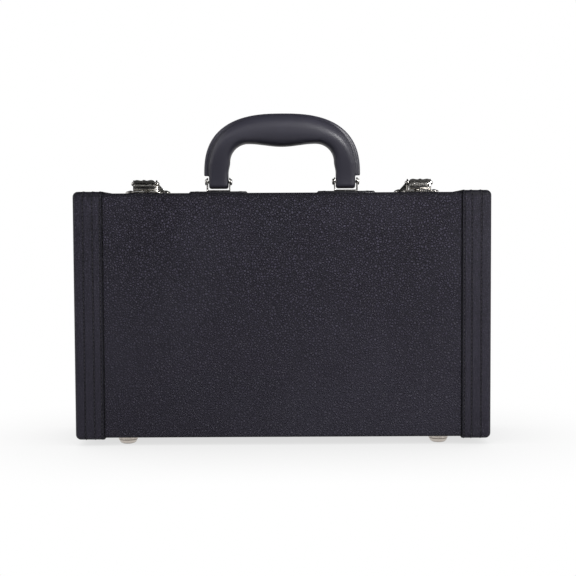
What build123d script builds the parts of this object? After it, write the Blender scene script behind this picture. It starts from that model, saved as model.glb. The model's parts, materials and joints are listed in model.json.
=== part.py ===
from build123d import *
import math
import os

# Clarinet case: a plywood case covered in pebbled leatherette, standing on its hinge side.
# X runs along the case, +Z points up to the handle, and the lid is the half at -Y.
# The origin is on the floor, at the middle of the case. All sizes are in millimetres.

# Case body
case_length = 349.0  # over the covering, without the end sleeves
case_height = 207.0  # over the covering, without feet, sleeves or handle
base_depth = 58.5  # from the seam to the covering of the base panel
lid_depth = 38.5  # from the seam to the covering of the lid panel
seam_gap = 0.4
base_wall = 5.0
lid_wall = 4.5
skin = 1.2  # leatherette
corner_radius = 4.5  # edges that run from panel to seam
face_radius = 3.0  # edges around each big face

# Stitched end sleeves
sleeve_thickness = 1.5
sleeve_width = 23.2  # from the covered end to the sleeve's inner edge

# Feet
foot_height = 6.5
foot_radius = 8.2
foot_flat_radius = 3.5
foot_neck_radius = 7.8
foot_rim = 2.6  # height of the upright band above the groove
foot_groove = 0.5
foot_end_inset = 41.4  # from the covered end to the foot's centre
foot_inset = 14.5  # from the covered big face to the foot's centre
prong_radius = 1.3
prong_length = 5.6

# Hinges
hinge_end_inset = 86.5  # from the covered end to the hinge's middle
leaf_length = 50.0
leaf_width = 12.0
leaf_thickness = 1.0
leaf_corner = 2.0
knuckle_radius = 2.2
knuckle_count = 5
knuckle_play = 0.3
hinge_pin_radius = 1.1
hinge_screw_count = 3

# Fits and small fasteners
running_clearance = 0.05
side_play = 0.4
rivet_shank_radius = 1.1
rivet_head_radius = 2.4
rivet_head_height = 0.9
screw_shank_radius = 0.8
screw_head_radius = 1.6
screw_head_height = 0.5

# Lining boards and fitted insert
liner_thickness = 2.0
liner_rise = 5.0  # how far the base liner stands up into the lid
insert_gap = 0.3
insert_drop = 4.0  # from the base rim down to the top of the insert
floor_pad_thickness = 8.0
rail_width = 8.0
upper_joint_width = 38.0
lower_joint_width = 41.0
middle_row_width = 36.0
barrel_length = 70.0
mouthpiece_length = 96.0
bell_width = 81.0
bell_length = 108.0
side_well_width = 51.0
right_border = 5.0

# Lid lining
lid_liner_thickness = 1.0
lid_lining_thickness = 2.0
lid_cushion_thickness = 16.0
lid_cushion_margin = 7.0
lid_cushion_radius = 5.0

# Handle
handle_y = 4.0
handle_half_width = 68.7
handle_top = 70.7  # above the covered top
handle_shoulder = 16.1  # where the outer flange ends, above the covered top
handle_power = 2.6  # squareness of the outer outline
grip_underside = 41.5  # lowest point of the grip's belly, above the covered top
grip_belly = 2.6
hand_gap_radius = 14.8
grip_depth = 26.0
tongue_width = 16.8
tongue_lap = 0.4  # how far each tongue reaches further in, past its even play
rib_overhang = 4.3  # from the tongue's outer side to the widest point of the arch
tongue_radius = 5.9
crown_radius = 8.0  # long top edges of the grip, seen from the end
shoulder_drop = 6.0  # from the belly down to the grip's full depth
handle_pin_height = 10.7
handle_pin_radius = 1.2
handle_pin_head_radius = 2.7
handle_pin_head_length = 1.6
handle_plate_length = 51.0
handle_plate_depth = 17.0
handle_plate_thickness = 2.5
handle_plate_chamfer = 1.2
handle_rivet_spacing = 38.0
bracket_sheet = 0.9
ear_clearance = 0.4  # from the ear to the handle's outer flange as it swings
bracket_play = 1.05
bracket_floor = 1.2
ear_rise = 3.8  # from the handle pin to the top of its ear

# Latches
latch_shift = 1.6  # outward from midway between the handle plate and the sleeve
latch_plate_half_width = 14.5
latch_plate_length = 18.5
latch_plate_thickness = 1.2
latch_plate_setback = 2.5
latch_ear_thickness = 1.0
latch_ear_radius = 3.2
latch_plate_corner = 2.0
pivot_setback = 8.0  # from the seam to the lever pivot
pivot_height = 8.7
pivot_radius = 1.4
pivot_dome_radius = 1.9
brace_reach = 6.7
brace_thickness = 1.0
brace_step = 1.0  # rise of the brace above the plate and above the pivot
lever_half_width = 8.9
lever_cheek = 1.0
cheek_end_radius = 2.7
cheek_nose = 3.2
lever_bottom = 2.4
lever_top = 11.7
lever_reach = 10.0
lever_sheet = 1.2
lever_bend = 2.4  # outside bend between the lever's floor and its tab
lever_lean = 0.6
lever_corner = 1.0
lever_hump = 0.25
lever_nub = 1.6
lever_notch = 2.4  # half width of the notch under the tab
bail_wire_radius = 0.9
bail_pivot_back = 3.5
bail_pivot_drop = 3.2
bail_length = 18.5
bail_half_width = 6.6
keeper_half_width = 19.3
keeper_setback = 5.0
keeper_depth = 14.0
keeper_height = 2.8
keeper_chamfer = 0.9
keeper_corner = 3.0
keeper_rivet_spacing = 31.0
post_half_width = 2.3
post_thickness = 2.6
post_clearance = 0.4
post_dip = 0.1  # from the top of the bail's wire down to the top of the post
post_front_radius = 1.4
post_back_radius = 0.5
post_root = 3.0  # how far the post's base runs under the keeper plate
latch_rivet_spacing = 24.0

# Derived places
bottom_z = foot_height
top_z = foot_height + case_height
seam_y = (lid_depth - base_depth) / 2
half_length = case_length / 2
foot_x = half_length - foot_end_inset
hinge_x = half_length - hinge_end_inset
handle_x = handle_half_width - rib_overhang - tongue_width / 2
hand_gap_half_width = handle_x - tongue_width / 2 - tongue_lap
latch_x = (handle_x + handle_plate_length / 2 + half_length - sleeve_width) / 2 + latch_shift
hinge_z = bottom_z - knuckle_radius - knuckle_play
pin_z = top_z + handle_pin_height
bracket_depth = 2 * (handle_shoulder - handle_pin_height - ear_clearance)
pivot_y = seam_y - pivot_setback
pivot_z = top_z + pivot_height
BASE = 1
LID = -1


def box_between(x, y, z):
    """A box from three pairs of limits, in any order."""
    sizes = [abs(pair[1] - pair[0]) for pair in (x, y, z)]
    centre = [(pair[0] + pair[1]) / 2 for pair in (x, y, z)]
    return Pos(*centre) * Box(*sizes)


def depth_of(side):
    """Depth of one half, from the seam to its covered face."""
    return base_depth if side == BASE else lid_depth


def wall_of(side):
    """Plywood thickness of one half."""
    return base_wall if side == BASE else lid_wall


def rim_y(side):
    """The rim plane of one half."""
    return seam_y + side * seam_gap / 2


def face_y(side, inset=0.0):
    """The big face of one half, or a plane that lies inside it by the inset."""
    return seam_y + side * (depth_of(side) - inset)


def half_block(side, inset):
    """One half of the case as a rounded block, shrunk by the inset except at the seam."""
    reach = half_length - inset
    block = box_between(
        (-reach, reach),
        (rim_y(side), face_y(side, inset)),
        (bottom_z + inset, top_z - inset),
    )
    block = fillet(block.edges().filter_by(Axis.Y), corner_radius - inset)
    outer_face = block.faces().sort_by(Axis.Y)[-1 if side == BASE else 0]
    return fillet(outer_face.edges(), face_radius - inset)


def cross_pin(radius, left, right, y, z):
    """A round bar along X."""
    return Pos((left + right) / 2, y, z) * Rot(0, 90, 0) * Cylinder(radius, abs(right - left))


def drill(piece, points, radius, low, high):
    """Cuts one upright round hole through the piece at each point."""
    for x, y in points:
        hole = Pos(x, y, (low + high) / 2) * Cylinder(radius, abs(high - low))
        piece = piece - hole
    return piece


def dome_headed(x, y, z, up, head_radius, head_height, shank_radius, shank_length):
    """A rivet or screw with a low domed head; up is 1 when the head is on top."""
    edge = head_height * 0.3
    dome = head_height - edge
    ball_radius = (head_radius**2 + dome**2) / (2 * dome)
    half_angle = math.asin(head_radius / ball_radius) / 2
    middle = (
        ball_radius * math.sin(half_angle),
        head_height - ball_radius * (1 - math.cos(half_angle)),
    )
    profile = make_face(
        Curve()
        + [
            Polyline((0, -shank_length), (shank_radius, -shank_length), (shank_radius, 0)),
            Polyline((shank_radius, 0), (head_radius, 0), (head_radius, edge)),
            ThreePointArc((head_radius, edge), middle, (0, head_height)),
            Line((0, head_height), (0, -shank_length)),
        ]
    )
    fastener = revolve(Plane.XZ * profile, Axis.Z)
    turn = Rot(0, 0, 0) if up == 1 else Rot(180, 0, 0)
    return Pos(x, y, z) * turn * fastener


# Places of the fasteners that pass through the covering into the plywood


def foot_points(side):
    """Centres of the two feet of one half."""
    y = face_y(side, foot_inset)
    return [(-foot_x, y), (foot_x, y)]


def hinge_screw_points(side):
    """Centres of the screws that hold the two leaves of one half."""
    y = seam_y + side * (knuckle_radius + leaf_width) / 2
    pitch = leaf_length / hinge_screw_count
    offsets = [(i - (hinge_screw_count - 1) / 2) * pitch for i in range(hinge_screw_count)]
    return [(centre + offset, y) for centre in (-hinge_x, hinge_x) for offset in offsets]


def paired_points(centre_x, spacing, y):
    """Two points about each of two mirrored centres."""
    return [
        (side * centre_x + offset, y)
        for side in (-1, 1)
        for offset in (-spacing / 2, spacing / 2)
    ]


def handle_rivet_points():
    """Centres of the rivets of the two handle plates."""
    return paired_points(handle_x, handle_rivet_spacing, handle_y)


def keeper_rivet_points():
    """Centres of the rivets of the two keepers."""
    y = seam_y + keeper_setback + keeper_depth / 2
    return paired_points(latch_x, keeper_rivet_spacing, y)


def latch_rivet_points():
    """Centres of the rivets of the two latch plates."""
    y = pivot_y - latch_ear_radius - rivet_head_radius - side_play
    return paired_points(latch_x, latch_rivet_spacing, y)


def drill_for_fasteners(piece, side):
    """Cuts the holes of every fastener of one half through a covering or a rail."""
    low = bottom_z - 1.0
    high = bottom_z + skin + wall_of(side) + 1.0
    piece = drill(piece, foot_points(side), prong_radius + running_clearance, low, high)
    piece = drill(piece, hinge_screw_points(side), screw_shank_radius + running_clearance, low, high)
    low = top_z - skin - wall_of(side) - 1.0
    high = top_z + 1.0
    if side == BASE:
        points = handle_rivet_points() + keeper_rivet_points()
    else:
        points = latch_rivet_points()
    return drill(piece, points, rivet_shank_radius + running_clearance, low, high)


# Case halves


def covering(side):
    """Leatherette skin of one half, open at the seam."""
    return drill_for_fasteners(half_block(side, 0.0) - half_block(side, skin), side)


def panel(side):
    """Plywood board behind the big face."""
    depth = (face_y(side), face_y(side, skin + wall_of(side)))
    slab = box_between((-half_length, half_length), depth, (bottom_z, top_z))
    return half_block(side, skin) & slab


def rails(side):
    """The four plywood boards around one half: left end, right end, bottom and top."""
    body = half_block(side, skin)
    inner_x = half_length - skin - wall_of(side)
    inner_y = face_y(side, skin + wall_of(side))
    y = (rim_y(side), inner_y)
    low = bottom_z + skin + wall_of(side)
    high = top_z - skin - wall_of(side)
    boards = [
        box_between((-half_length, -inner_x), y, (bottom_z, top_z)),
        box_between((inner_x, half_length), y, (bottom_z, top_z)),
        drill_for_fasteners(box_between((-inner_x, inner_x), y, (bottom_z, low)), side),
        drill_for_fasteners(box_between((-inner_x, inner_x), y, (high, top_z)), side),
    ]
    return Compound(children=[(body & board).solid() for board in boards])


def end_sleeve(side, end):
    """Stitched leather sleeve that wraps one end of one half; end is -1 or 1."""
    wrap = half_block(side, -sleeve_thickness) - half_block(side, 0.0)
    outer = half_length + 2 * sleeve_thickness
    inner = half_length - sleeve_width
    keep = box_between(
        (end * inner, end * outer),
        (rim_y(side), face_y(side, -2 * sleeve_thickness)),
        (bottom_z - 2 * sleeve_thickness, top_z + 2 * sleeve_thickness),
    )
    return (wrap & keep).solid()


def foot_profile():
    """Half section of a domed glide with its prong, standing on z = 0."""
    rim_z = foot_height - foot_rim
    groove_z = rim_z - foot_groove
    return make_face(
        Curve()
        + [
            Line((0, 0), (foot_flat_radius, 0)),
            ThreePointArc(
                (foot_flat_radius, 0),
                (foot_neck_radius * 0.87, groove_z * 0.38),
                (foot_neck_radius, groove_z),
            ),
            Line((foot_neck_radius, groove_z), (foot_radius, rim_z)),
            Line((foot_radius, rim_z), (foot_radius, foot_height)),
            Line((foot_radius, foot_height), (prong_radius, foot_height)),
            Line((prong_radius, foot_height), (prong_radius, foot_height + prong_length)),
            Line((prong_radius, foot_height + prong_length), (0, foot_height + prong_length)),
            Line((0, foot_height + prong_length), (0, 0)),
        ]
    )


def feet(side):
    """The two metal glides of one half."""
    glide = revolve(Plane.XZ * foot_profile(), Axis.Z)
    return Compound(children=[Pos(x, y, 0) * glide for x, y in foot_points(side)])


# Hinges


def knuckle_spans(side):
    """X ranges, from the hinge's middle, of the knuckles that belong to one leaf."""
    pitch = leaf_length / knuckle_count
    first = 0 if side == BASE else 1
    spans = []
    for i in range(first, knuckle_count, 2):
        left = -leaf_length / 2 + i * pitch
        spans.append((left + knuckle_play / 2, left + pitch - knuckle_play / 2))
    return spans


def hinge_leaf(side, centre):
    """One leaf of a butt hinge with its knuckles."""
    low, high = bottom_z - leaf_thickness, bottom_z
    near = seam_y + side * (knuckle_radius + knuckle_play)
    far = seam_y + side * (knuckle_radius + leaf_width)
    leaf = box_between((-leaf_length / 2, leaf_length / 2), (near, far), (low, high))
    far_corners = leaf.edges().filter_by(Axis.Z).sort_by(lambda edge: -side * edge.center().Y)[:2]
    leaf = fillet(far_corners, leaf_corner)
    for left, right in knuckle_spans(side):
        strap = box_between((left, right), (seam_y, near), (low, hinge_z + knuckle_radius))
        leaf = leaf + cross_pin(knuckle_radius, left, right, seam_y, hinge_z) + strap
    bore = cross_pin(hinge_pin_radius + running_clearance, -leaf_length, leaf_length, seam_y, hinge_z)
    leaf = Pos(centre, 0, 0) * (leaf - bore)
    return drill(leaf, hinge_screw_points(side), screw_shank_radius + running_clearance, low - 1, high + 1)


def hinge_pins():
    """The two hinge pins, which stay in the base leaves."""
    pin = cross_pin(hinge_pin_radius, -leaf_length / 2, leaf_length / 2, seam_y, hinge_z)
    return Compound(children=[Pos(centre, 0, 0) * pin for centre in (-hinge_x, hinge_x)])


def hinge_screws(side):
    """Screws of the two leaves of one half."""
    z = bottom_z - leaf_thickness
    length = leaf_thickness + skin + wall_of(side) - 1.0
    return Compound(
        children=[
            dome_headed(x, y, z, -1, screw_head_radius, screw_head_height, screw_shank_radius, length)
            for x, y in hinge_screw_points(side)
        ]
    )


# Lining and fitted insert


def ring_of_boards(half_x, low, high, thickness, y):
    """Four boards along the inside of a rectangle, butted at the corners."""
    return Compound(
        children=[
            box_between((-half_x, -half_x + thickness), y, (low, high)),
            box_between((half_x - thickness, half_x), y, (low, high)),
            box_between((-half_x + thickness, half_x - thickness), y, (low, low + thickness)),
            box_between((-half_x + thickness, half_x - thickness), y, (high - thickness, high)),
        ]
    )


base_inner_x = half_length - skin - base_wall
base_inner_low = bottom_z + skin + base_wall
base_inner_high = top_z - skin - base_wall
base_floor_y = face_y(BASE, skin + base_wall)
lid_inner_x = half_length - skin - lid_wall
lid_inner_low = bottom_z + skin + lid_wall
lid_inner_high = top_z - skin - lid_wall
lid_floor_y = face_y(LID, skin + lid_wall)


def base_liner():
    """Plush-covered boards around the inside of the base, which rise into the lid."""
    y = (rim_y(BASE) - liner_rise, base_floor_y)
    return ring_of_boards(base_inner_x, base_inner_low, base_inner_high, liner_thickness, y)


def lid_liner():
    """Thin boards around the inside of the lid, clear of the base liner."""
    y = (rim_y(BASE) - liner_rise - 1.0, lid_floor_y)
    return ring_of_boards(lid_inner_x, lid_inner_low, lid_inner_high, lid_liner_thickness, y)


# The insert is a field of plush-covered rails, laid out from its left, right, bottom and top.
field_left = -base_inner_x + liner_thickness + insert_gap
field_right = -field_left
field_low = base_inner_low + liner_thickness + insert_gap
field_high = base_inner_high - liner_thickness - insert_gap
well_left = field_left + rail_width
well_low = field_low + rail_width
upper_high = field_high - rail_width
upper_low = upper_high - upper_joint_width
bell_right = field_right - right_border
bell_left = bell_right - bell_width
upper_right = bell_left - rail_width
middle_high = upper_low - rail_width
middle_low = middle_high - middle_row_width
lower_high = well_low + lower_joint_width
side_well_left = bell_right - side_well_width
lower_right = side_well_left - rail_width
tray_low = lower_high + rail_width
tray_high = middle_low - rail_width
bell_low = upper_high - bell_length
side_well_high = bell_low - rail_width
barrel_right = well_left + barrel_length
mouthpiece_left = barrel_right + rail_width
mouthpiece_right = mouthpiece_left + mouthpiece_length
reed_left = mouthpiece_right + rail_width
insert_top_y = rim_y(BASE) + insert_drop
pad_top_y = base_floor_y - floor_pad_thickness
rail_y = (insert_top_y, pad_top_y)


def insert_floor():
    """Foam pads on the base panel, around the deep well of the bell."""
    y = (pad_top_y, base_floor_y)
    return Compound(
        children=[
            box_between((field_left, bell_left), y, (field_low, field_high)),
            box_between((bell_left, field_right), y, (field_low, bell_low)),
            box_between((bell_right, field_right), y, (bell_low, field_high)),
            box_between((bell_left, bell_right), y, (upper_high, field_high)),
        ]
    )


def insert_border():
    """Rails around the edge of the insert."""
    return Compound(
        children=[
            box_between((field_left, well_left), rail_y, (field_low, field_high)),
            box_between((bell_right, field_right), rail_y, (field_low, field_high)),
            box_between((well_left, bell_right), rail_y, (field_low, well_low)),
            box_between((well_left, bell_right), rail_y, (upper_high, field_high)),
        ]
    )


def insert_long_rails():
    """Rails that part the rows of the insert."""
    return Compound(
        children=[
            box_between((well_left, upper_right), rail_y, (middle_high, upper_low)),
            box_between((well_left, upper_right), rail_y, (tray_high, middle_low)),
            box_between((well_left, upper_right), rail_y, (lower_high, tray_low)),
        ]
    )


def insert_dividers():
    """Short blocks between the barrel, mouthpiece and reed wells."""
    return Compound(
        children=[
            box_between((barrel_right, mouthpiece_left), rail_y, (middle_low, middle_high)),
            box_between((mouthpiece_right, reed_left), rail_y, (middle_low, middle_high)),
        ]
    )


def insert_bell_rails():
    """Rails beside and below the bell, and around the small well under it."""
    return Compound(
        children=[
            box_between((upper_right, bell_left), rail_y, (lower_high, upper_high)),
            box_between((bell_left, bell_right), rail_y, (side_well_high, bell_low)),
            box_between((bell_left, side_well_left), rail_y, (lower_high, side_well_high)),
            box_between((lower_right, side_well_left), rail_y, (well_low, lower_high)),
        ]
    )


def lid_lining():
    """Plush-covered board on the inside of the lid panel."""
    inset = lid_liner_thickness + insert_gap
    reach = lid_inner_x - inset
    y = (lid_floor_y, lid_floor_y + lid_lining_thickness)
    return box_between((-reach, reach), y, (lid_inner_low + inset, lid_inner_high - inset))


def lid_cushion():
    """Soft cushion in the lid that holds the joints down, clear of the bell."""
    inset = lid_liner_thickness + lid_cushion_margin
    low_y = lid_floor_y + lid_lining_thickness + insert_gap
    block = box_between(
        (-lid_inner_x + inset, upper_right),
        (low_y, lid_floor_y + lid_lining_thickness + lid_cushion_thickness),
        (lid_inner_low + inset, lid_inner_high - inset),
    )
    block = fillet(block.edges().filter_by(Axis.Y), lid_cushion_radius)
    return fillet(block.faces().sort_by(Axis.Y)[-1].edges(), lid_cushion_radius)


# Handle


def handle_outline():
    """The handle seen from the front: a squarish arch with two tongues."""
    arch_points = []
    height = handle_top - handle_shoulder
    steps = 16
    for i in range(steps + 1):
        angle = math.pi * i / steps
        reach = abs(math.cos(angle)) ** (2 / handle_power)
        rise = abs(math.sin(angle)) ** (2 / handle_power)
        x = -math.copysign(reach * handle_half_width, math.cos(angle))
        arch_points.append((x, top_z + handle_shoulder + rise * height))
    tongue_out = handle_x + tongue_width / 2
    low = pin_z - tongue_radius
    shoulder = top_z + handle_shoulder
    peak = top_z + grip_underside + grip_belly
    bend = peak - hand_gap_radius
    gap = hand_gap_half_width
    inner_bend = gap - hand_gap_radius
    diagonal = hand_gap_radius * math.sqrt(0.5)
    return make_face(
        Curve()
        + [
            Spline(*arch_points, tangents=((0, 1), (0, -1))),
            Polyline((handle_half_width, shoulder), (tongue_out, shoulder), (tongue_out, low)),
            Polyline((tongue_out, low), (gap, low), (gap, bend)),
            ThreePointArc((gap, bend), (inner_bend + diagonal, bend + diagonal), (inner_bend, peak)),
            ThreePointArc((inner_bend, peak), (0, peak - grip_belly), (-inner_bend, peak)),
            ThreePointArc((-inner_bend, peak), (-inner_bend - diagonal, bend + diagonal), (-gap, bend)),
            Polyline((-gap, bend), (-gap, low), (-tongue_out, low)),
            Polyline((-tongue_out, low), (-tongue_out, shoulder), (-handle_half_width, shoulder)),
        ]
    )


def handle_side():
    """The handle seen from its end: a round tongue that widens into the grip."""
    low = pin_z - tongue_radius
    waist = top_z + handle_shoulder
    shoulder = top_z + grip_underside - shoulder_drop
    crown = top_z + handle_top
    half = grip_depth / 2
    flat = half - crown_radius
    bend = crown - crown_radius
    diagonal = crown_radius * math.sqrt(0.5)
    return make_face(
        Curve()
        + [
            ThreePointArc((-tongue_radius, pin_z), (0, low), (tongue_radius, pin_z)),
            Line((tongue_radius, pin_z), (tongue_radius, waist)),
            Spline((tongue_radius, waist), (half, shoulder), tangents=((0, 1), (0, 1))),
            Line((half, shoulder), (half, bend)),
            ThreePointArc((half, bend), (flat + diagonal, bend + diagonal), (flat, crown)),
            Line((flat, crown), (-flat, crown)),
            ThreePointArc((-flat, crown), (-flat - diagonal, bend + diagonal), (-half, bend)),
            Line((-half, bend), (-half, shoulder)),
            Spline((-half, shoulder), (-tongue_radius, waist), tangents=((0, -1), (0, -1))),
            Line((-tongue_radius, waist), (-tongue_radius, pin_z)),
        ]
    )


def handle_grip():
    """Moulded handle with a hole through each tongue."""
    front = Pos(0, handle_y, 0) * extrude(Plane.XZ * handle_outline(), grip_depth / 2 + 1, both=True)
    side = Pos(0, handle_y, 0) * extrude(Plane.YZ * handle_side(), handle_half_width + 1, both=True)
    grip = (front & side).solid()
    bore_radius = handle_pin_radius + running_clearance
    return grip - cross_pin(bore_radius, -handle_half_width, handle_half_width, handle_y, pin_z)


def handle_plate(end):
    """Mounting plate under one bracket, with bevelled edges."""
    plate = box_between(
        (-handle_plate_length / 2, handle_plate_length / 2),
        (handle_y - handle_plate_depth / 2, handle_y + handle_plate_depth / 2),
        (top_z, top_z + handle_plate_thickness),
    )
    plate = chamfer(plate.faces().sort_by(Axis.Z)[-1].edges(), handle_plate_chamfer)
    plate = Pos(end * handle_x, 0, 0) * plate
    high = top_z + handle_plate_thickness + 1
    return drill(plate, handle_rivet_points(), rivet_shank_radius + running_clearance, top_z - 1, high)


def handle_bracket(end):
    """Sheet bracket with two ears that hold one tongue."""
    floor_z = top_z + handle_plate_thickness
    inner = tongue_width / 2 + bracket_play
    outer = inner + bracket_sheet
    near, far = handle_y - bracket_depth / 2, handle_y + bracket_depth / 2
    bracket = box_between((-outer, outer), (near, far), (floor_z, floor_z + bracket_floor))
    ear_radius = bracket_depth / 2
    ear_top = pin_z + ear_rise
    corner = min(ear_rise, ear_radius) * 0.9
    for face in (-outer, inner):
        ear = box_between((face, face + bracket_sheet), (near, far), (floor_z, ear_top))
        bracket = bracket + fillet(ear.edges().filter_by(Axis.X).sort_by(Axis.Z)[2:], corner)
    bore = cross_pin(handle_pin_radius + running_clearance, -2 * outer, 2 * outer, handle_y, pin_z)
    return Pos(end * handle_x, 0, 0) * (bracket - bore)


def handle_pins():
    """The two riveted pins that the handle turns on."""
    inner = tongue_width / 2 + bracket_play + bracket_sheet
    shank = Rot(0, 90, 0) * Cylinder(handle_pin_radius, 2 * inner)
    pin = shank
    for side in (-1, 1):
        head = Rot(0, 90, 0) * Cylinder(handle_pin_head_radius, handle_pin_head_length)
        head = fillet(head.edges().sort_by(Axis.X)[-1 if side == 1 else 0], handle_pin_head_length * 0.6)
        pin = pin + Pos(side * (inner + handle_pin_head_length / 2), 0, 0) * head
    return Compound(children=[Pos(end * handle_x, handle_y, pin_z) * pin for end in (-1, 1)])


def top_rivets(points, z, side):
    """Domed rivets that hold a fitting on the top of one half."""
    length = z - top_z + skin + wall_of(side) - 0.5
    return Compound(
        children=[
            dome_headed(x, y, z, 1, rivet_head_radius, rivet_head_height, rivet_shank_radius, length)
            for x, y in points
        ]
    )


# Latches. Each is built about x = 0 with its inner side at +X for the left latch.


ear_inner = lever_half_width + side_play
ear_outer = ear_inner + latch_ear_thickness
bail_pivot_y = pivot_y - bail_pivot_back
bail_pivot_z = pivot_z - bail_pivot_drop
bail_bar_y = bail_pivot_y + bail_length


def latch_plate(end):
    """Plate on the lid with two ears for the lever, and a brace on its inner side."""
    near = seam_y - latch_plate_setback
    far = near - latch_plate_length
    plate = box_between(
        (-latch_plate_half_width, latch_plate_half_width),
        (far, near),
        (top_z, top_z + latch_plate_thickness),
    )
    plate = fillet(plate.edges().filter_by(Axis.Z), latch_plate_corner)
    for face in (-ear_outer, ear_inner):
        block = box_between(
            (face, face + latch_ear_thickness),
            (pivot_y - latch_ear_radius, pivot_y + latch_ear_radius),
            (top_z, pivot_z),
        )
        crown = cross_pin(latch_ear_radius, face, face + latch_ear_thickness, pivot_y, pivot_z)
        plate = plate + block + crown
    brace_y = pivot_y + latch_ear_radius - brace_thickness
    brace = make_face(
        Polyline(
            (ear_inner, top_z),
            (ear_outer + brace_reach, top_z),
            (ear_outer + brace_reach, top_z + latch_plate_thickness + brace_step),
            (ear_outer, pivot_z + brace_step),
            (ear_inner, pivot_z + brace_step),
            close=True,
        )
    )
    plate = plate + Pos(0, brace_y + brace_thickness, 0) * extrude(Plane.XZ * brace, brace_thickness)
    reach = 2 * ear_outer
    plate = plate - cross_pin(pivot_radius + running_clearance, -reach, reach, pivot_y, pivot_z)
    plate = Pos(end * latch_x, 0, 0) * (plate if end == -1 else mirror(plate, Plane.YZ))
    high = top_z + latch_plate_thickness + 1
    return drill(plate, latch_rivet_points(), rivet_shank_radius + running_clearance, top_z - 1, high)


def latch_pivots(end):
    """Two short domed rivets that join the lever's cheeks to the ears."""
    pivots = []
    for side in (-1, 1):
        inner, outer = side * (lever_half_width - lever_cheek), side * ear_outer
        shank = cross_pin(pivot_radius, inner, outer + side * pivot_dome_radius / 3, pivot_y, pivot_z)
        dome = Pos(outer, pivot_y, pivot_z) * Sphere(pivot_dome_radius)
        outside = box_between(
            (outer, outer + side * pivot_dome_radius),
            (pivot_y - pivot_dome_radius, pivot_y + pivot_dome_radius),
            (pivot_z - pivot_dome_radius, pivot_z + pivot_dome_radius),
        )
        pivots.append(Pos(end * latch_x, 0, 0) * (shank + (dome & outside)))
    return Compound(children=pivots)


def lever_tab():
    """Upturned finger tab, seen from the front, with two humps and a ridge."""
    low, high = top_z + lever_bottom, top_z + lever_top
    half, corner = lever_half_width, lever_corner
    bite = 0.3 * corner
    return make_face(
        Curve()
        + [
            Line((-half, low + corner), (-half, high - corner)),
            Spline(
                (-half, high - corner),
                (-half * 0.55, high),
                (-lever_nub * 0.9, high - lever_hump),
                (0, high + lever_hump),
                (lever_nub * 0.9, high - lever_hump),
                (half * 0.55, high),
                (half, high - corner),
            ),
            Line((half, high - corner), (half, low + corner)),
            ThreePointArc((half, low + corner), (half - bite, low + bite), (half - corner, low)),
            Line((half - corner, low), (lever_notch, low)),
            ThreePointArc((lever_notch, low), (0, low + lever_notch / 2), (-lever_notch, low)),
            Line((-lever_notch, low), (-half + corner, low)),
            ThreePointArc((-half + corner, low), (-half + bite, low + bite), (-half, low + corner)),
        ]
    )


lever_front_y = pivot_y - lever_reach
lever_low_z = top_z + lever_bottom


def bend_curve(radius):
    """Quarter bend between the lever's floor and its tab; both faces share one centre."""
    y, z = lever_front_y + lever_bend, lever_low_z + lever_bend
    diagonal = radius * math.sqrt(0.5)
    return ThreePointArc((y, z - radius), (y - diagonal, z - diagonal), (y - radius, z))


def lever_section():
    """Side section of the lever's floor and upturned tab, as a curved band."""
    low, front, sheet = lever_low_z, lever_front_y, lever_sheet
    back = bail_pivot_y - bail_wire_radius - side_play
    middle = low + lever_top / 2
    tip = front - lever_lean
    high = top_z + 1.2 * lever_top
    start = low + lever_bend
    return make_face(
        Curve()
        + [
            Line((back, low), (front + lever_bend, low)),
            bend_curve(lever_bend),
            Spline((front, start), (front + lever_lean, middle), (tip, high), tangents=((0, 1), (-0.4, 1))),
            Line((tip, high), (tip + sheet, high)),
            Spline(
                (tip + sheet, high),
                (front + lever_lean + sheet, middle),
                (front + sheet, start),
                tangents=((0.4, -1), (0, -1)),
            ),
            bend_curve(lever_bend - sheet),
            Line((front + lever_bend, low + sheet), (back, low + sheet)),
            Line((back, low + sheet), (back, low)),
        ]
    )


def lever_cheek_side():
    """Side plate of the lever, from its tab to a round end about the pivot."""
    low, front, end = lever_low_z, lever_front_y, cheek_end_radius
    diagonal = end * math.sqrt(0.5)
    return make_face(
        Curve()
        + [
            Line((front + lever_bend, low), (bail_pivot_y, low)),
            Line((bail_pivot_y, low), (pivot_y + diagonal, pivot_z - diagonal)),
            ThreePointArc(
                (pivot_y + diagonal, pivot_z - diagonal),
                (pivot_y + end, pivot_z),
                (pivot_y + diagonal, pivot_z + diagonal),
            ),
            Line((pivot_y + diagonal, pivot_z + diagonal), (front + cheek_nose, pivot_z - lever_lean)),
            Line((front + cheek_nose, pivot_z - lever_lean), (front + lever_sheet, low + cheek_nose)),
            Line((front + lever_sheet, low + cheek_nose), (front + lever_bend, low)),
        ]
    )


def latch_lever(end):
    """Lever with an upturned tab, two cheeks on the pivots and holes for the bail."""
    band = extrude(Plane.YZ * lever_section(), lever_half_width + 1, both=True)
    outline = extrude(Plane.XZ * lever_tab(), lever_reach, both=True)
    outline = Pos(0, lever_front_y + lever_reach / 2, 0) * outline
    floor_zone = box_between(
        (-lever_half_width, lever_half_width), (lever_front_y + lever_bend, pivot_y), (top_z, pivot_z)
    )
    lever = band & (outline + floor_zone)
    for side in (-1, 1):
        middle = side * (lever_half_width - lever_cheek / 2)
        cheek = extrude(Plane.YZ * lever_cheek_side(), lever_cheek / 2, both=True)
        lever = lever + Pos(middle, 0, 0) * cheek
    reach = 2 * lever_half_width
    lever = lever - cross_pin(pivot_radius + running_clearance, -reach, reach, pivot_y, pivot_z)
    lever = lever - cross_pin(bail_wire_radius + running_clearance, -reach, reach, bail_pivot_y, bail_pivot_z)
    return Pos(end * latch_x, 0, 0) * lever


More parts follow.
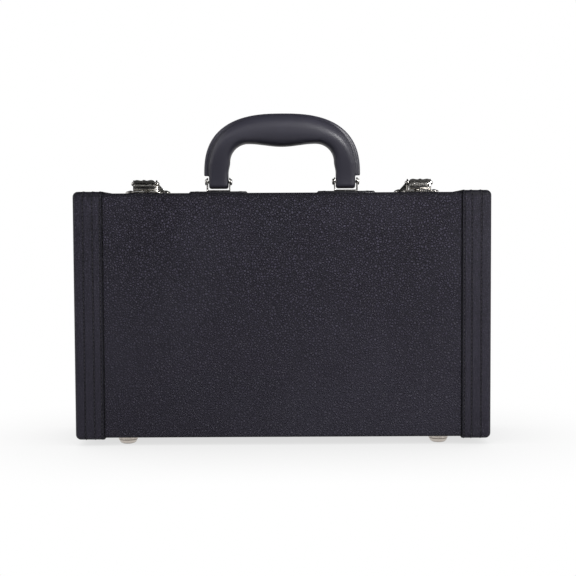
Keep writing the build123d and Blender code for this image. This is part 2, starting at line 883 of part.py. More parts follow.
def latch_bail(end):
    """Wire loop that hooks behind the keeper's post."""
    corners = [
        (-lever_half_width, bail_pivot_y),
        (-bail_half_width, bail_pivot_y),
        (-bail_half_width, bail_bar_y),
        (bail_half_width, bail_bar_y),
        (bail_half_width, bail_pivot_y),
        (lever_half_width, bail_pivot_y),
    ]
    loop = None
    for (x0, y0), (x1, y1) in zip(corners, corners[1:]):
        length = math.hypot(x1 - x0, y1 - y0)
        turn = Rot(0, 90, 0) if y0 == y1 else Rot(90, 0, 0)
        rod = Pos((x0 + x1) / 2, (y0 + y1) / 2, bail_pivot_z) * turn * Cylinder(bail_wire_radius, length)
        loop = rod if loop is None else loop + rod
    for x, y in corners[1:-1]:
        loop = loop + Pos(x, y, bail_pivot_z) * Sphere(bail_wire_radius)
    return Pos(end * latch_x, 0, 0) * loop


def keeper(end):
    """Winged plate on the base with the post that the bail hooks behind."""
    near = seam_y + keeper_setback
    plate = box_between(
        (-keeper_half_width, keeper_half_width),
        (near, near + keeper_depth),
        (top_z, top_z + keeper_height),
    )
    plate = fillet(plate.edges().filter_by(Axis.Z), keeper_corner)
    plate = chamfer(plate.faces().sort_by(Axis.Z)[-1].edges(), keeper_chamfer)
    back = bail_bar_y - bail_wire_radius - post_clearance
    front = back - post_thickness
    top = bail_pivot_z + bail_wire_radius - post_dip
    round_front = post_front_radius * (1 - math.sqrt(0.5))
    round_back = post_back_radius * (1 - math.sqrt(0.5))
    rail_z = top_z + keeper_height
    root = near + post_root
    post_side = make_face(
        Curve()
        + [
            Line((front, top_z), (front, top - post_front_radius)),
            ThreePointArc(
                (front, top - post_front_radius),
                (front + round_front, top - round_front),
                (front + post_front_radius, top),
            ),
            Line((front + post_front_radius, top), (back - post_back_radius, top)),
            ThreePointArc(
                (back - post_back_radius, top),
                (back - round_back, top - round_back),
                (back, top - post_back_radius),
            ),
            Polyline((back, top - post_back_radius), (back, rail_z), (root, rail_z)),
            Polyline((root, rail_z), (root, top_z), (front, top_z)),
        ]
    )
    post = extrude(Plane.YZ * post_side, post_half_width, both=True)
    piece = Pos(end * latch_x, 0, 0) * (plate + post)
    high = top_z + keeper_height + 1.0
    return drill(piece, keeper_rivet_points(), rivet_shank_radius + running_clearance, top_z - 1, high)


# The nodes


def named_pieces():
    """Every node of the case, by name."""
    pieces = {}
    for side, half in ((BASE, "base"), (LID, "lid")):
        pieces[f"{half}_panel"] = panel(side)
        pieces[f"{half}_rails"] = rails(side)
        pieces[f"{half}_covering"] = covering(side)
        pieces[f"{half}_feet"] = feet(side)
        pieces[f"{half}_hinge_screws"] = hinge_screws(side)
        for end, hand in ((-1, "left"), (1, "right")):
            pieces[f"{half}_sleeve_{hand}"] = end_sleeve(side, end)
            pieces[f"{half}_hinge_leaf_{hand}"] = hinge_leaf(side, end * hinge_x)
    pieces["hinge_pins"] = hinge_pins()
    pieces["base_liner"] = base_liner()
    pieces["insert_floor"] = insert_floor()
    pieces["insert_border"] = insert_border()
    pieces["insert_long_rails"] = insert_long_rails()
    pieces["insert_dividers"] = insert_dividers()
    pieces["insert_bell_rails"] = insert_bell_rails()
    pieces["lid_liner"] = lid_liner()
    pieces["lid_lining"] = lid_lining()
    pieces["lid_cushion"] = lid_cushion()
    pieces["handle_grip"] = handle_grip()
    pieces["handle_pins"] = handle_pins()
    plate_top = top_z + handle_plate_thickness
    pieces["handle_plate_rivets"] = top_rivets(handle_rivet_points(), plate_top, BASE)
    pieces["keeper_rivets"] = top_rivets(keeper_rivet_points(), top_z + keeper_height, BASE)
    pieces["latch_plate_rivets"] = top_rivets(latch_rivet_points(), top_z + latch_plate_thickness, LID)
    for end, hand in ((-1, "left"), (1, "right")):
        pieces[f"handle_plate_{hand}"] = handle_plate(end)
        pieces[f"handle_bracket_{hand}"] = handle_bracket(end)
        pieces[f"latch_plate_{hand}"] = latch_plate(end)
        pieces[f"latch_pivots_{hand}"] = latch_pivots(end)
        pieces[f"latch_lever_{hand}"] = latch_lever(end)
        pieces[f"latch_bail_{hand}"] = latch_bail(end)
        pieces[f"keeper_{hand}"] = keeper(end)
    return pieces


os.makedirs("parts", exist_ok=True)
for name, piece in named_pieces().items():
    export_step(piece, f"parts/{name}.step")
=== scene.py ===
"""Dresses a standing clarinet case.

The case has a pebbled leatherette shell with a stitched sleeve over each end, a moulded drop
handle, draw latches, metal glides and a fitted plush interior.
"""

from __future__ import annotations

import json
import logging
import math
from bisect import bisect_right
from dataclasses import dataclass, field
from enum import Enum
from itertools import accumulate, pairwise
from typing import Callable, Iterable, Sequence

import bmesh
import bpy
import numpy as np
from mathutils import Matrix, Vector

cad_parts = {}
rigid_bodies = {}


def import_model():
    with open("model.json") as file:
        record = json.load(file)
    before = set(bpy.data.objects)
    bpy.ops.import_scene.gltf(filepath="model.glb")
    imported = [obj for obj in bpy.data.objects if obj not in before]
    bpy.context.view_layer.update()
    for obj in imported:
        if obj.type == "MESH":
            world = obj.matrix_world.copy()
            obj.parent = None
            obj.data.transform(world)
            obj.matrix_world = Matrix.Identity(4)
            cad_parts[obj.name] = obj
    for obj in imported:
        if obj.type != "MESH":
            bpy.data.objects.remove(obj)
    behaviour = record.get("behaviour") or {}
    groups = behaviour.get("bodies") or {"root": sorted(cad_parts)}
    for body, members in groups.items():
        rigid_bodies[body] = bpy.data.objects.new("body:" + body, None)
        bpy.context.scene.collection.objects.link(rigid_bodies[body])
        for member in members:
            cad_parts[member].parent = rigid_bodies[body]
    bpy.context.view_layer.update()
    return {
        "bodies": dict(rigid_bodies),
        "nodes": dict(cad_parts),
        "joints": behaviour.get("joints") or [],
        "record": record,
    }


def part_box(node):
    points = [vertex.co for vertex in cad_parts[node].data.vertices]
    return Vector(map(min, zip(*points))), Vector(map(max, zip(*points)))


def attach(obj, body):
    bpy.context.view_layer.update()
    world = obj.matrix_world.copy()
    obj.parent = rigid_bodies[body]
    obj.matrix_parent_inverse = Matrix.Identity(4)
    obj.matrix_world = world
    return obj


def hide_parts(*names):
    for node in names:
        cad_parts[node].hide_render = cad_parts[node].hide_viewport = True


LOG = logging.getLogger("clarinet_case")
MM = 0.001
WELD = 0.002 * MM
Point = tuple[float, float, float]
Colour = tuple[float, float, float]
Inputs = dict[str | int, object]
Modifier = tuple[str, dict[str, object]]


class Half(Enum):
    """The two halves of the case; the value is the half's direction along Y."""

    BASE = 1
    LID = -1

    @property
    def body(self) -> str:
        """Name of the moving body that the half belongs to."""
        return self.name.lower()


class End(Enum):
    """The two ends of the case; the value is the end's direction along X."""

    LEFT = -1
    RIGHT = 1

    @property
    def hand(self) -> str:
        """The end's name as it stands in piece names."""
        return self.name.lower()


def screen_colour(red: float, green: float, blue: float) -> Colour:
    """Turns a colour written as 0 to 255 on a screen into scene-linear values.

    Args:
        red: Red, 0 to 255.
        green: Green, 0 to 255.
        blue: Blue, 0 to 255.

    Returns:
        The three linear values.
    """
    shares = [value / 255 for value in (red, green, blue)]
    return tuple(v / 12.92 if v <= 0.04045 else ((v + 0.055) / 1.055) ** 2.4 for v in shares)


# Shader building


def arithmetic(operation: str, swapped: bool = False) -> Callable[[Tone, Value], Tone]:
    """Makes a method that adds one Math node.

    Args:
        operation: The node's operation.
        swapped: Puts the other value first.

    Returns:
        The method.
    """

    def method(self: Tone, other: Value) -> Tone:
        """Result of the operation on the two values."""
        return self.graph.math(operation, *((other, self) if swapped else (self, other)))

    return method


class Tone:
    """A value or vector inside a shader; arithmetic on it adds Math nodes."""

    __add__ = __radd__ = arithmetic("ADD")
    __mul__ = __rmul__ = arithmetic("MULTIPLY")
    __sub__, __rsub__ = arithmetic("SUBTRACT"), arithmetic("SUBTRACT", swapped=True)
    __truediv__ = arithmetic("DIVIDE")
    at_most, at_least = arithmetic("MINIMUM"), arithmetic("MAXIMUM")

    def __init__(self, graph: Graph, socket: bpy.types.NodeSocket) -> None:
        """Wraps one output socket of the graph."""
        self.graph = graph
        self.socket = socket

    def __abs__(self) -> Tone:
        """Size of the value without its sign."""
        return self.graph.math("ABSOLUTE", self)

    def ramp(self, low: float, high: float) -> Tone:
        """Eases from 0 to 1 as the value goes from low to high; low may be the larger one.

        Args:
            low: Value that gives 0.
            high: Value that gives 1.

        Returns:
            The eased value.
        """
        share = ((self - low) / (high - low)).at_least(0.0).at_most(1.0)
        return share * share * (3.0 - 2.0 * share)


Value = float | Tone


class Graph:
    """The node tree of a material or a world, built node by node."""

    def __init__(self, owner: bpy.types.Material | bpy.types.World) -> None:
        """Empties the owner's node tree.

        Args:
            owner: The material or world.
        """
        owner.use_nodes = True
        self.owner = owner
        self.tree = owner.node_tree
        self.tree.nodes.clear()

    @classmethod
    def material(cls, name: str) -> Graph:
        """Graph of a new material."""
        return cls(bpy.data.materials.new(name))

    def node(
        self,
        kind: str,
        settings: dict[str, object] | None = None,
        inputs: Inputs | None = None,
        output: str | int = 0,
    ) -> Tone:
        """Adds a node.

        Args:
            kind: The node's type.
            settings: Properties of the node, which are set first.
            inputs: Values or tones for its sockets, by name or number.
            output: Name or number of the output to hand back.

        Returns:
            The chosen output as a tone.
        """
        made = self.tree.nodes.new(kind)
        for name, value in (settings or {}).items():
            setattr(made, name, value)
        for name, value in (inputs or {}).items():
            self.feed(made.inputs[name], value)
        return Tone(self, made.outputs[output])

    def feed(self, socket: bpy.types.NodeSocket, value: object) -> None:
        """Links a tone to a socket, or sets the socket's own value.

        Args:
            socket: The socket.
            value: A tone, a number, a colour or a vector.
        """
        if isinstance(value, Tone):
            self.tree.links.new(value.socket, socket)
        elif socket.type == "RGBA" and len(value) == 3:
            socket.default_value = (*value, 1.0)
        else:
            socket.default_value = value

    def math(self, operation: str, *values: Value) -> Tone:
        """Adds a Math node for the operation on one or two values."""
        return self.node("ShaderNodeMath", {"operation": operation}, dict(enumerate(values)))

    def place(self) -> Tone:
        """Position on the resting object, in metres."""
        return self.node("ShaderNodeTexCoord", output="Object")

    def axes(self, vector: Tone) -> tuple[Tone, Tone, Tone]:
        """The three parts of a vector."""
        made = self.node("ShaderNodeSeparateXYZ", inputs={0: vector}).socket.node
        return tuple(Tone(self, made.outputs[i]) for i in range(3))

    def stretch(self, vector: Tone, factors: Point) -> Tone:
        """The vector with each part multiplied by a factor."""
        return self.node("ShaderNodeVectorMath", {"operation": "MULTIPLY"}, {0: vector, 1: factors})

    def noise(self, vector: Tone, scale: float, detail: float = 3.0, roughness: float = 0.5) -> Tone:
        """Smooth noise, about 0.5 on average; scale is in features per metre."""
        inputs = {"Vector": vector, "Scale": scale, "Detail": detail, "Roughness": roughness}
        return self.node("ShaderNodeTexNoise", inputs=inputs, output="Fac")

    def stirred(self, vector: Tone, scale: float, amount: float) -> Tone:
        """The vector pushed about by noise, so that cells lose their straight sides.

        Args:
            vector: Position to push.
            scale: Noise features per metre.
            amount: Largest push, in metres.

        Returns:
            The pushed position.
        """
        inputs = {"Vector": vector, "Scale": scale, "Detail": 2.0}
        colour = self.node("ShaderNodeTexNoise", inputs=inputs, output="Color")
        settings = {"operation": "MULTIPLY_ADD"}
        return self.node("ShaderNodeVectorMath", settings, {0: colour, 1: (amount,) * 3, 2: vector})

    def cells(self, vector: Tone, scale: float) -> Tone:
        """Voronoi cells: how far a point is from its cell's border.

        Args:
            vector: Position to look up.
            scale: Cells per metre.

        Returns:
            The distance, in cells.
        """
        inputs = {"Vector": vector, "Scale": scale, "Randomness": 1.0}
        settings = {"feature": "DISTANCE_TO_EDGE"}
        return self.node("ShaderNodeTexVoronoi", settings, inputs, output="Distance")

    def blend(self, share: Value, first: object, second: object) -> Tone:
        """Mixes two colours; share 1 gives the second."""
        settings = {"data_type": "RGBA"}
        return self.node("ShaderNodeMix", settings, {0: share, 6: first, 7: second}, output=2)

    def bump(self, height: Tone, depth: float, under: Tone | None = None) -> Tone:
        """Turns a height into a normal.

        Args:
            height: Height, where 1 is the full depth.
            depth: Full depth in metres.
            under: Normal of a coarser bump that this one lies on.

        Returns:
            The bumped normal.
        """
        inputs: Inputs = {"Height": height, "Distance": depth, "Strength": 1.0}
        if under is not None:
            inputs["Normal"] = under
        return self.node("ShaderNodeBump", inputs=inputs)

    def rays(self, kind: str) -> Tone:
        """1 for rays of one kind, such as Camera, and 0 for the rest."""
        return self.node("ShaderNodeLightPath", output=f"Is {kind} Ray")

    def mixed(self, share: Tone, first: Tone, second: Tone) -> Tone:
        """Mixes two shaders; share 1 gives the second."""
        return self.node("ShaderNodeMixShader", inputs={0: share, 1: first, 2: second})

    def end(self, surface: Tone, kind: str = "ShaderNodeOutputMaterial") -> None:
        """Adds the output node."""
        self.feed(self.tree.nodes.new(kind).inputs["Surface"], surface)

    def finish(self, inputs: Inputs) -> bpy.types.Material:
        """Adds the Principled shader and the output, and hands back the material."""
        self.end(self.node("ShaderNodeBsdfPrincipled", inputs=inputs))
        return self.owner


# Finishes


@dataclass(frozen=True)
class Finish:
    """A procedural finish."""

    def inputs(self, graph: Graph) -> Inputs:
        """Values and tones for the Principled shader."""
        raise NotImplementedError

    def build(self, name: str) -> bpy.types.Material:
        """Makes the material."""
        graph = Graph.material(name)
        return graph.finish(self.inputs(graph))


@dataclass(frozen=True)
class Leatherette(Finish):
    """Black embossed leatherette with small round pebbles."""

    pebble: Colour = screen_colour(41, 39, 48)
    # crown: painted highlight on the pebbles' tops
    crown: Colour = screen_colour(66, 63, 77)
    # crease: painted shade in the creases between pebbles
    crease: Colour = screen_colour(17, 16, 21)
    drift: Colour = screen_colour(60, 59, 69)
    # edge: colour of the darker folded top edge and of the painted shade line at each sleeve's edge
    edge: Colour = screen_colour(15, 15, 19)
    pebble_size: float = 2.1 * MM
    depth: float = 0.6 * MM
    roughness: float = 0.42
    specular: float = 0.12
    # heights over which the painted highlight and painted shade of the grain grow toward the top,
    # where the light falls
    paling: tuple[float, float] = (40.0 * MM, 205.0 * MM)
    folded_edge: float = 210.5 * MM
    fold_depth: tuple[float, float] = (42.0 * MM, 46.0 * MM)
    # x of each sleeve's edge, where the painted shade line lies
    tucked_edge: float = 151.2 * MM

    def grain(self, graph: Graph) -> tuple[Tone, Tone]:
        """Pebbles as a height and as a share of crease.

        Args:
            graph: The material that gets the nodes.

        Returns:
            Height of the pebbles and how deep in a crease a point lies.
        """
        place = graph.place()
        stirred = graph.stirred(place, 0.6 / self.pebble_size, 0.9 * self.pebble_size)
        edge = graph.cells(stirred, 1 / self.pebble_size)
        pebble = edge.ramp(0.02, 0.38)
        fine = graph.noise(place, 2.6 / self.pebble_size, detail=2.0)
        return pebble * 0.85 + fine * 0.3, edge.ramp(0.2, 0.03)

    def paint(self, graph: Graph, height: Tone, crease: Tone) -> Tone:
        """Base colour: painted highlight on crowns and painted shade in creases, both stronger toward
        the top, drifts of tone, dark folded edges and a painted shade line at the sleeves' edges.

        Args:
            graph: The material that gets the nodes.
            height: Height of the pebbles.
            crease: Share by which a point lies in a crease.

        Returns:
            The colour.
        """
        place = graph.place()
        across, deep, up = graph.axes(place)
        # rise: share of the painted top light, 0 low on the face and 1 near the top
        rise = up.ramp(*self.paling)
        # painted highlight on the crowns, stronger toward the top
        colour = graph.blend(height.ramp(0.75, 1.1) * (rise * 0.55 + 0.28), self.pebble, self.crown)
        # painted shade in the creases, stronger toward the top
        colour = graph.blend(crease * (rise * 0.4 + 0.5), colour, self.crease)
        drift = graph.noise(place, 11.0, detail=2.0).ramp(0.35, 0.75)
        colour = graph.blend(drift * 0.14, colour, self.drift)
        folded = up.ramp(self.folded_edge - 1 * MM, self.folded_edge + 1 * MM) * 0.65
        folded = folded * abs(deep).ramp(*self.fold_depth)
        # painted shade line along each sleeve's edge, on the face and on the sleeve
        seam_shade = abs(abs(across) - self.tucked_edge).ramp(1.2 * MM, 0.4 * MM) * 0.9
        return graph.blend(folded.at_least(seam_shade), colour, self.edge)

    def inputs(self, graph: Graph) -> Inputs:
        """Pebbles with creases and slow changes of polish.

        Args:
            graph: The material that gets the nodes.

        Returns:
            Values and tones for the Principled shader.
        """
        height, crease = self.grain(graph)
        polish = graph.noise(graph.place(), 35.0).ramp(0.3, 0.8)
        return {
            "Base Color": self.paint(graph, height, crease),
            "Roughness": self.roughness + polish * 0.08 + crease * 0.15,
            "Specular IOR Level": self.specular,
            "Normal": graph.bump(height, self.depth),
        }


@dataclass(frozen=True)
class SleeveLeather(Leatherette):
    """The same leatherette on the end sleeves, pressed down along three rows of stitches."""

    rows: tuple[float, ...] = (153.1, 159.3, 167.2)
    row_half_width: float = 0.85
    pebble_size: float = 1.5 * MM
    depth: float = 0.2 * MM
    groove_depth: float = 0.5 * MM
    # furrow: painted shade in the stitch furrows
    furrow: Colour = screen_colour(22, 21, 26)

    def groove(self, graph: Graph) -> Tone:
        """Share by which a point lies in the furrow of a stitch row.

        Args:
            graph: The material that gets the nodes.

        Returns:
            The share, 0 to 1.
        """
        across, _, _ = graph.axes(graph.place())
        far = abs(across) * (1 / MM)
        furrow: Tone | None = None
        for row in self.rows:
            one = abs(far - row).ramp(self.row_half_width, 0.15)
            furrow = one if furrow is None else furrow.at_least(one)
        return furrow

    def inputs(self, graph: Graph) -> Inputs:
        """Fine pebbles, pressed down at the stitch rows.

        Args:
            graph: The material that gets the nodes.

        Returns:
            Values and tones for the Principled shader.
        """
        height, crease = self.grain(graph)
        furrow = self.groove(graph)
        # painted shade in the stitch furrows, over the pressed bump
        colour = graph.blend(furrow * 0.75, self.paint(graph, height, crease), self.furrow)
        pressed = graph.bump(1.0 - furrow, self.groove_depth)
        return {
            "Base Color": colour,
            "Roughness": self.roughness + crease * 0.1 + furrow * 0.2,
            "Specular IOR Level": self.specular,
            "Normal": graph.bump(height, self.depth, under=pressed),
        }


@dataclass(frozen=True)
class Thread(Finish):
    """Waxed black sewing thread with a visible twist."""

    colour: Colour = screen_colour(40, 39, 45)
    # hollow: painted shade between the twisted strands
    hollow: Colour = screen_colour(24, 23, 28)
    twist: float = 0.45 * MM

    def inputs(self, graph: Graph) -> Inputs:
        """Twisted strands, with painted shade between them.

        Args:
            graph: The material that gets the nodes.

        Returns:
            Values and tones for the Principled shader.
        """
        x, y, z = graph.axes(graph.place())
        lay = graph.math("SINE", (x + y + z) * (2 * math.pi / self.twist))
        shade = graph.blend(lay.ramp(-1.0, 1.0), self.hollow, self.colour)
        return {"Base Color": shade, "Roughness": 0.55, "Normal": graph.bump(lay, 0.05 * MM)}


@dataclass(frozen=True)
class MouldedPlastic(Finish):
    """Black moulded plastic: a fine spark-eroded texture with a soft sheen and handled spots."""

    colour: Colour = screen_colour(45, 44, 53)
    worn: Colour = screen_colour(60, 59, 68)
    roughness: float = 0.38
    handled: tuple[float, float] = (235.0 * MM, 275.0 * MM)

    def inputs(self, graph: Graph) -> Inputs:
        """Speckled sheen, rubbed paler where a hand holds it.

        Args:
            graph: The material that gets the nodes.

        Returns:
            Values and tones for the Principled shader.
        """
        place = graph.place()
        speckle = graph.noise(place, 1900.0, detail=2.0)
        rubbed = graph.noise(place, 45.0, detail=4.0, roughness=0.6).ramp(0.5, 0.8)
        _, _, up = graph.axes(place)
        grip = up.ramp(*self.handled)
        colour = graph.blend(rubbed * grip * 0.35, self.colour, self.worn)
        return {
            "Base Color": colour,
            "Roughness": self.roughness + speckle * 0.12 - rubbed * 0.06,
            "Specular IOR Level": 0.5,
            "Normal": graph.bump(speckle, 0.035 * MM),
        }


@dataclass(frozen=True)
class Nickel(Finish):
    """Nickel plate over steel, from a bright polish to a satin one."""

    colour: Colour = screen_colour(214, 211, 206)
    tarnish: Colour = screen_colour(112, 109, 106)
    roughness: float = 0.16
    dull_share: float = 0.35

    def inputs(self, graph: Graph) -> Inputs:
        """Plate with dull spots and fine scratches.

        Args:
            graph: The material that gets the nodes.

        Returns:
            Values and tones for the Principled shader.
        """
        place = graph.place()
        dull = graph.noise(place, 160.0, detail=5.0, roughness=0.65).ramp(0.5, 0.82)
        scratch = graph.noise(graph.stretch(place, (900.0, 90.0, 260.0)), 1.0, detail=2.0)
        marks = scratch.ramp(0.62, 0.7)
        return {
            "Base Color": graph.blend(dull * self.dull_share, self.colour, self.tarnish),
            "Metallic": 1.0,
            "Roughness": self.roughness + dull * 0.16 + marks * 0.1,
            "Normal": graph.bump(scratch, 0.012 * MM),
        }


@dataclass(frozen=True)
class TurnedNickel(Nickel):
    """Nickel plate on the feet, with the fine rings of a lathe about each foot's axis."""

    colour: Colour = screen_colour(214, 205, 196)
    # colour of the painted shade in the groove and along the bottom rim
    dirt: Colour = screen_colour(84, 76, 68)
    roughness: float = 0.24
    groove_z: float = 3.65 * MM
    foot_x: float = 133.1 * MM
    foot_y: float = 34.0 * MM
    ring_pitch: float = 0.35 * MM

    def inputs(self, graph: Graph) -> Inputs:
        """Lathe rings, scuffs underneath, and painted shade in the groove and along the bottom rim.

        Args:
            graph: The material that gets the nodes.

        Returns:
            Values and tones for the Principled shader.
        """
        x, y, z = graph.axes(graph.place())
        out_x, out_y = abs(x) - self.foot_x, abs(y) - self.foot_y
        radius = graph.math("SQRT", out_x * out_x + out_y * out_y)
        rings = graph.math("SINE", (radius + z) * (2 * math.pi / self.ring_pitch))
        scuff = z.ramp(1.6 * MM, 0.0) * graph.noise(graph.place(), 700.0).ramp(0.3, 0.7)
        # painted shade in the groove and along the bottom rim of each foot
        shade_share = abs(z - self.groove_z).ramp(0.5 * MM, 0.2 * MM).at_least(z.ramp(1.0 * MM, 0.3 * MM))
        colour = graph.blend(scuff * 0.6, self.colour, self.tarnish)
        return {
            "Base Color": graph.blend(shade_share * 0.85, colour, self.dirt),
            "Metallic": 1.0,
            "Roughness": self.roughness + scuff * 0.25,
            "Normal": graph.bump(rings, 0.01 * MM),
        }


@dataclass(frozen=True)
class Enamel(Finish):
    """Black stoved enamel on the handle's mounting plates, with a slight orange peel."""

    colour: Colour = screen_colour(30, 30, 33)
    chip: Colour = screen_colour(95, 93, 92)

    def inputs(self, graph: Graph) -> Inputs:
        """Orange peel with a few chips.

        Args:
            graph: The material that gets the nodes.

        Returns:
            Values and tones for the Principled shader.
        """
        place = graph.place()
        peel = graph.noise(place, 420.0, detail=2.0)
        chips = graph.noise(place, 900.0, detail=3.0).ramp(0.7, 0.76)
        return {
            "Base Color": graph.blend(chips * 0.7, self.colour, self.chip),
            "Roughness": 0.3 + peel * 0.12,
            "Coat Weight": 0.3,
            "Normal": graph.bump(peel, 0.05 * MM),
        }


@dataclass(frozen=True)
class Plush(Finish):
    """Wine-red short-pile plush whose nap lies in slow patches."""

    colour: Colour = screen_colour(104, 14, 26)
    brushed: Colour = screen_colour(142, 30, 42)
    shadow: Colour = screen_colour(58, 6, 14)

    def inputs(self, graph: Graph) -> Inputs:
        """Pile, tufts and a brushed nap.

        Args:
            graph: The material that gets the nodes.

        Returns:
            Values and tones for the Principled shader.
        """
        place = graph.place()
        nap = graph.noise(place, 38.0, detail=4.0, roughness=0.6).ramp(0.38, 0.66)
        pile = graph.noise(place, 1500.0, detail=2.0, roughness=0.7)
        tufts = graph.noise(graph.stretch(place, (1.0, 1.0, 0.55)), 620.0, detail=2.0)
        colour = graph.blend(nap * 0.35, self.colour, self.brushed)
        colour = graph.blend(pile.ramp(0.55, 0.25) * 0.7, colour, self.shadow)
        return {
            "Base Color": colour,
            "Roughness": 0.85 - nap * 0.1,
            "Specular IOR Level": 0.2,
            "Sheen Weight": 0.2,
            "Sheen Roughness": 0.4,
            "Normal": graph.bump(pile * 0.6 + tufts * 0.6, 0.35 * MM),
        }


@dataclass(frozen=True)
class Plywood(Finish):
    """Bare birch plywood: long grain on the faces, plies on the edges."""

    pale: Colour = screen_colour(214, 184, 142)
    dark: Colour = screen_colour(168, 128, 84)
    ply: float = 1.1 * MM

    def inputs(self, graph: Graph) -> Inputs:
        """Grain and plies.

        Args:
            graph: The material that gets the nodes.

        Returns:
            Values and tones for the Principled shader.
        """
        place = graph.place()
        _, y, _ = graph.axes(place)
        grain = graph.noise(graph.stretch(place, (9.0, 60.0, 180.0)), 1.0, detail=6.0, roughness=0.6)
        layers = graph.math("SINE", y * (math.pi / self.ply)).ramp(-0.3, 0.3)
        tone = (grain.ramp(0.3, 0.7) * 0.75 + layers * 0.25).at_most(1.0)
        return {
            "Base Color": graph.blend(tone, self.pale, self.dark),
            "Roughness": 0.62 + grain * 0.15,
            "Normal": graph.bump(grain, 0.08 * MM),
        }


class Finishes:
    """Every finish of the case by the material slot that it belongs to."""

    def __init__(self) -> None:
        """Makes each material once."""
        steel = screen_colour(190, 187, 182)
        self.by_slot: dict[str, bpy.types.Material] = {
            "leatherette": Leatherette().build("pebble_leatherette"),
            "sleeve_leather": SleeveLeather().build("sleeve_leatherette"),
            "plywood": Plywood().build("birch_plywood"),
            "plush": Plush().build("wine_plush"),
            "satin_nickel": TurnedNickel().build("turned_nickel"),
            "hinge_steel": Nickel(colour=steel, roughness=0.28, dull_share=0.5).build("plated_hinge"),
            "handle_plastic": MouldedPlastic().build("moulded_plastic"),
            "black_metal": Enamel().build("black_enamel"),
            "polished_nickel": Nickel().build("polished_nickel"),
        }
        self.thread = Thread().build("black_thread")

    def dress(self, piece: bpy.types.Object, slot: str) -> None:
        """Gives a piece the finish of a material slot."""
        self.wear(piece, self.by_slot[slot])

    @staticmethod
    def wear(piece: bpy.types.Object, material: bpy.types.Material) -> None:
        """Replaces all materials of a piece by one."""
        piece.data.materials.clear()
        piece.data.materials.append(material)


# Mesh helpers


def new_piece(name: str, mesh: bpy.types.Mesh) -> bpy.types.Object:
    """Adds a mesh to the scene as an object of that name.

    Args:
        name: The piece's name.
        mesh: Its mesh.

    Returns:
        The piece.
    """
    piece = bpy.data.objects.new(name, mesh)
    bpy.context.scene.collection.objects.link(piece)
    return piece


def mesh_from(name: str, points: Iterable[Point], faces: Iterable[Sequence[int]]) -> bpy.types.Mesh:
    """Makes a smooth-shaded mesh with its faces turned outward.

    Args:
        name: The mesh's name.
        points: Vertices in metres.
        faces: Vertex numbers of each face.

    Returns:
        The mesh.
    """
    mesh = bpy.data.meshes.new(name)
    mesh.from_pydata([tuple(p) for p in points], [], [tuple(f) for f in faces])
    tidy = bmesh.new()
    tidy.from_mesh(mesh)
    bmesh.ops.recalc_face_normals(tidy, faces=tidy.faces)
    tidy.to_mesh(mesh)
    tidy.free()
    mesh.shade_smooth()
    return mesh


def sheet_piece(name: str, corner: Point, across: Point, along: Point) -> bpy.types.Object:
    """Adds a flat four-cornered sheet.

    Args:
        name: The piece's name.
        corner: One of its corners.
        across: Edge from that corner to the next one.
        along: Edge from that corner to the last one.

    Returns:
        The piece.
    """
    first, right, far = Vector(corner), Vector(across), Vector(along)
    corners = [first, first + right, first + right + far, first + far]
    return new_piece(name, mesh_from(name, corners, [(0, 1, 2, 3)]))


def modified(piece: bpy.types.Object, *modifiers: Modifier) -> bpy.types.Object:
    """Adds modifiers to a piece and bakes them into its mesh.

    Args:
        piece: The piece.
        modifiers: Kind and settings of each modifier.

    Returns:
        The piece.
    """
    for kind, settings in modifiers:
        modifier = piece.modifiers.new(kind.lower(), kind)
        for name, value in settings.items():
            setattr(modifier, name, value)
    graph = bpy.context.evaluated_depsgraph_get()
    baked = bpy.data.meshes.new_from_object(piece.evaluated_get(graph))
    piece.modifiers.clear()
    piece.data = baked
    return piece


def piece_from(name: str, work: bmesh.types.BMesh, *modifiers: Modifier) -> bpy.types.Object:
    """Turns an edited mesh into a piece with the modifiers baked in.

    Args:
        name: The piece's name.
        work: The edited mesh, which is freed.
        modifiers: Kind and settings of each modifier.

    Returns:
        The piece.
    """
    mesh = bpy.data.meshes.new(name)
    work.to_mesh(mesh)
    work.free()
    return modified(new_piece(name, mesh), *modifiers)


def bevel(width: float, segments: int, degrees: float) -> Modifier:
    """A bevel on the edges sharper than an angle.

    Args:
        width: Width in metres.
        segments: Number of facets across it.
        degrees: The angle.

    Returns:
        The modifier.
    """
    settings = {"width": width, "segments": segments, "limit_method": "ANGLE"}
    return "BEVEL", {**settings, "angle_limit": math.radians(degrees)}


def smoothing(iterations: int) -> Modifier:
    """A half-strength smoothing, repeated."""
    return "SMOOTH", {"factor": 0.5, "iterations": iterations}


def shade_by_angle(piece: bpy.types.Object, degrees: float = 35.0) -> None:
    """Smooths the shading except across edges sharper than the angle."""
    piece.data.shade_smooth()
    piece.data.set_sharp_from_angle(angle=math.radians(degrees))


def loft(rings: Sequence[Sequence[Vector]]) -> tuple[list[Vector], list[tuple[int, ...]]]:
    """Joins closed rings of equal length into a capped tube.

    Args:
        rings: Rings of points, from one end to the other.

    Returns:
        The points and the faces.
    """
    count = len(rings[0])
    points = [point for ring in rings for point in ring]
    faces: list[tuple[int, ...]] = []
    for start in range(0, len(points) - count, count):
        for i in range(count):
            j = (i + 1) % count
            faces.append((start + i, start + j, start + count + j, start + count + i))
    faces.append(tuple(range(count)))
    faces.append(tuple(range(len(points) - count, len(points))))
    return points, faces


def lofted(name: str, rings: Sequence[Sequence[Vector]]) -> bpy.types.Object:
    """Adds a capped tube through closed rings of points."""
    return new_piece(name, mesh_from(name, *loft(rings)))


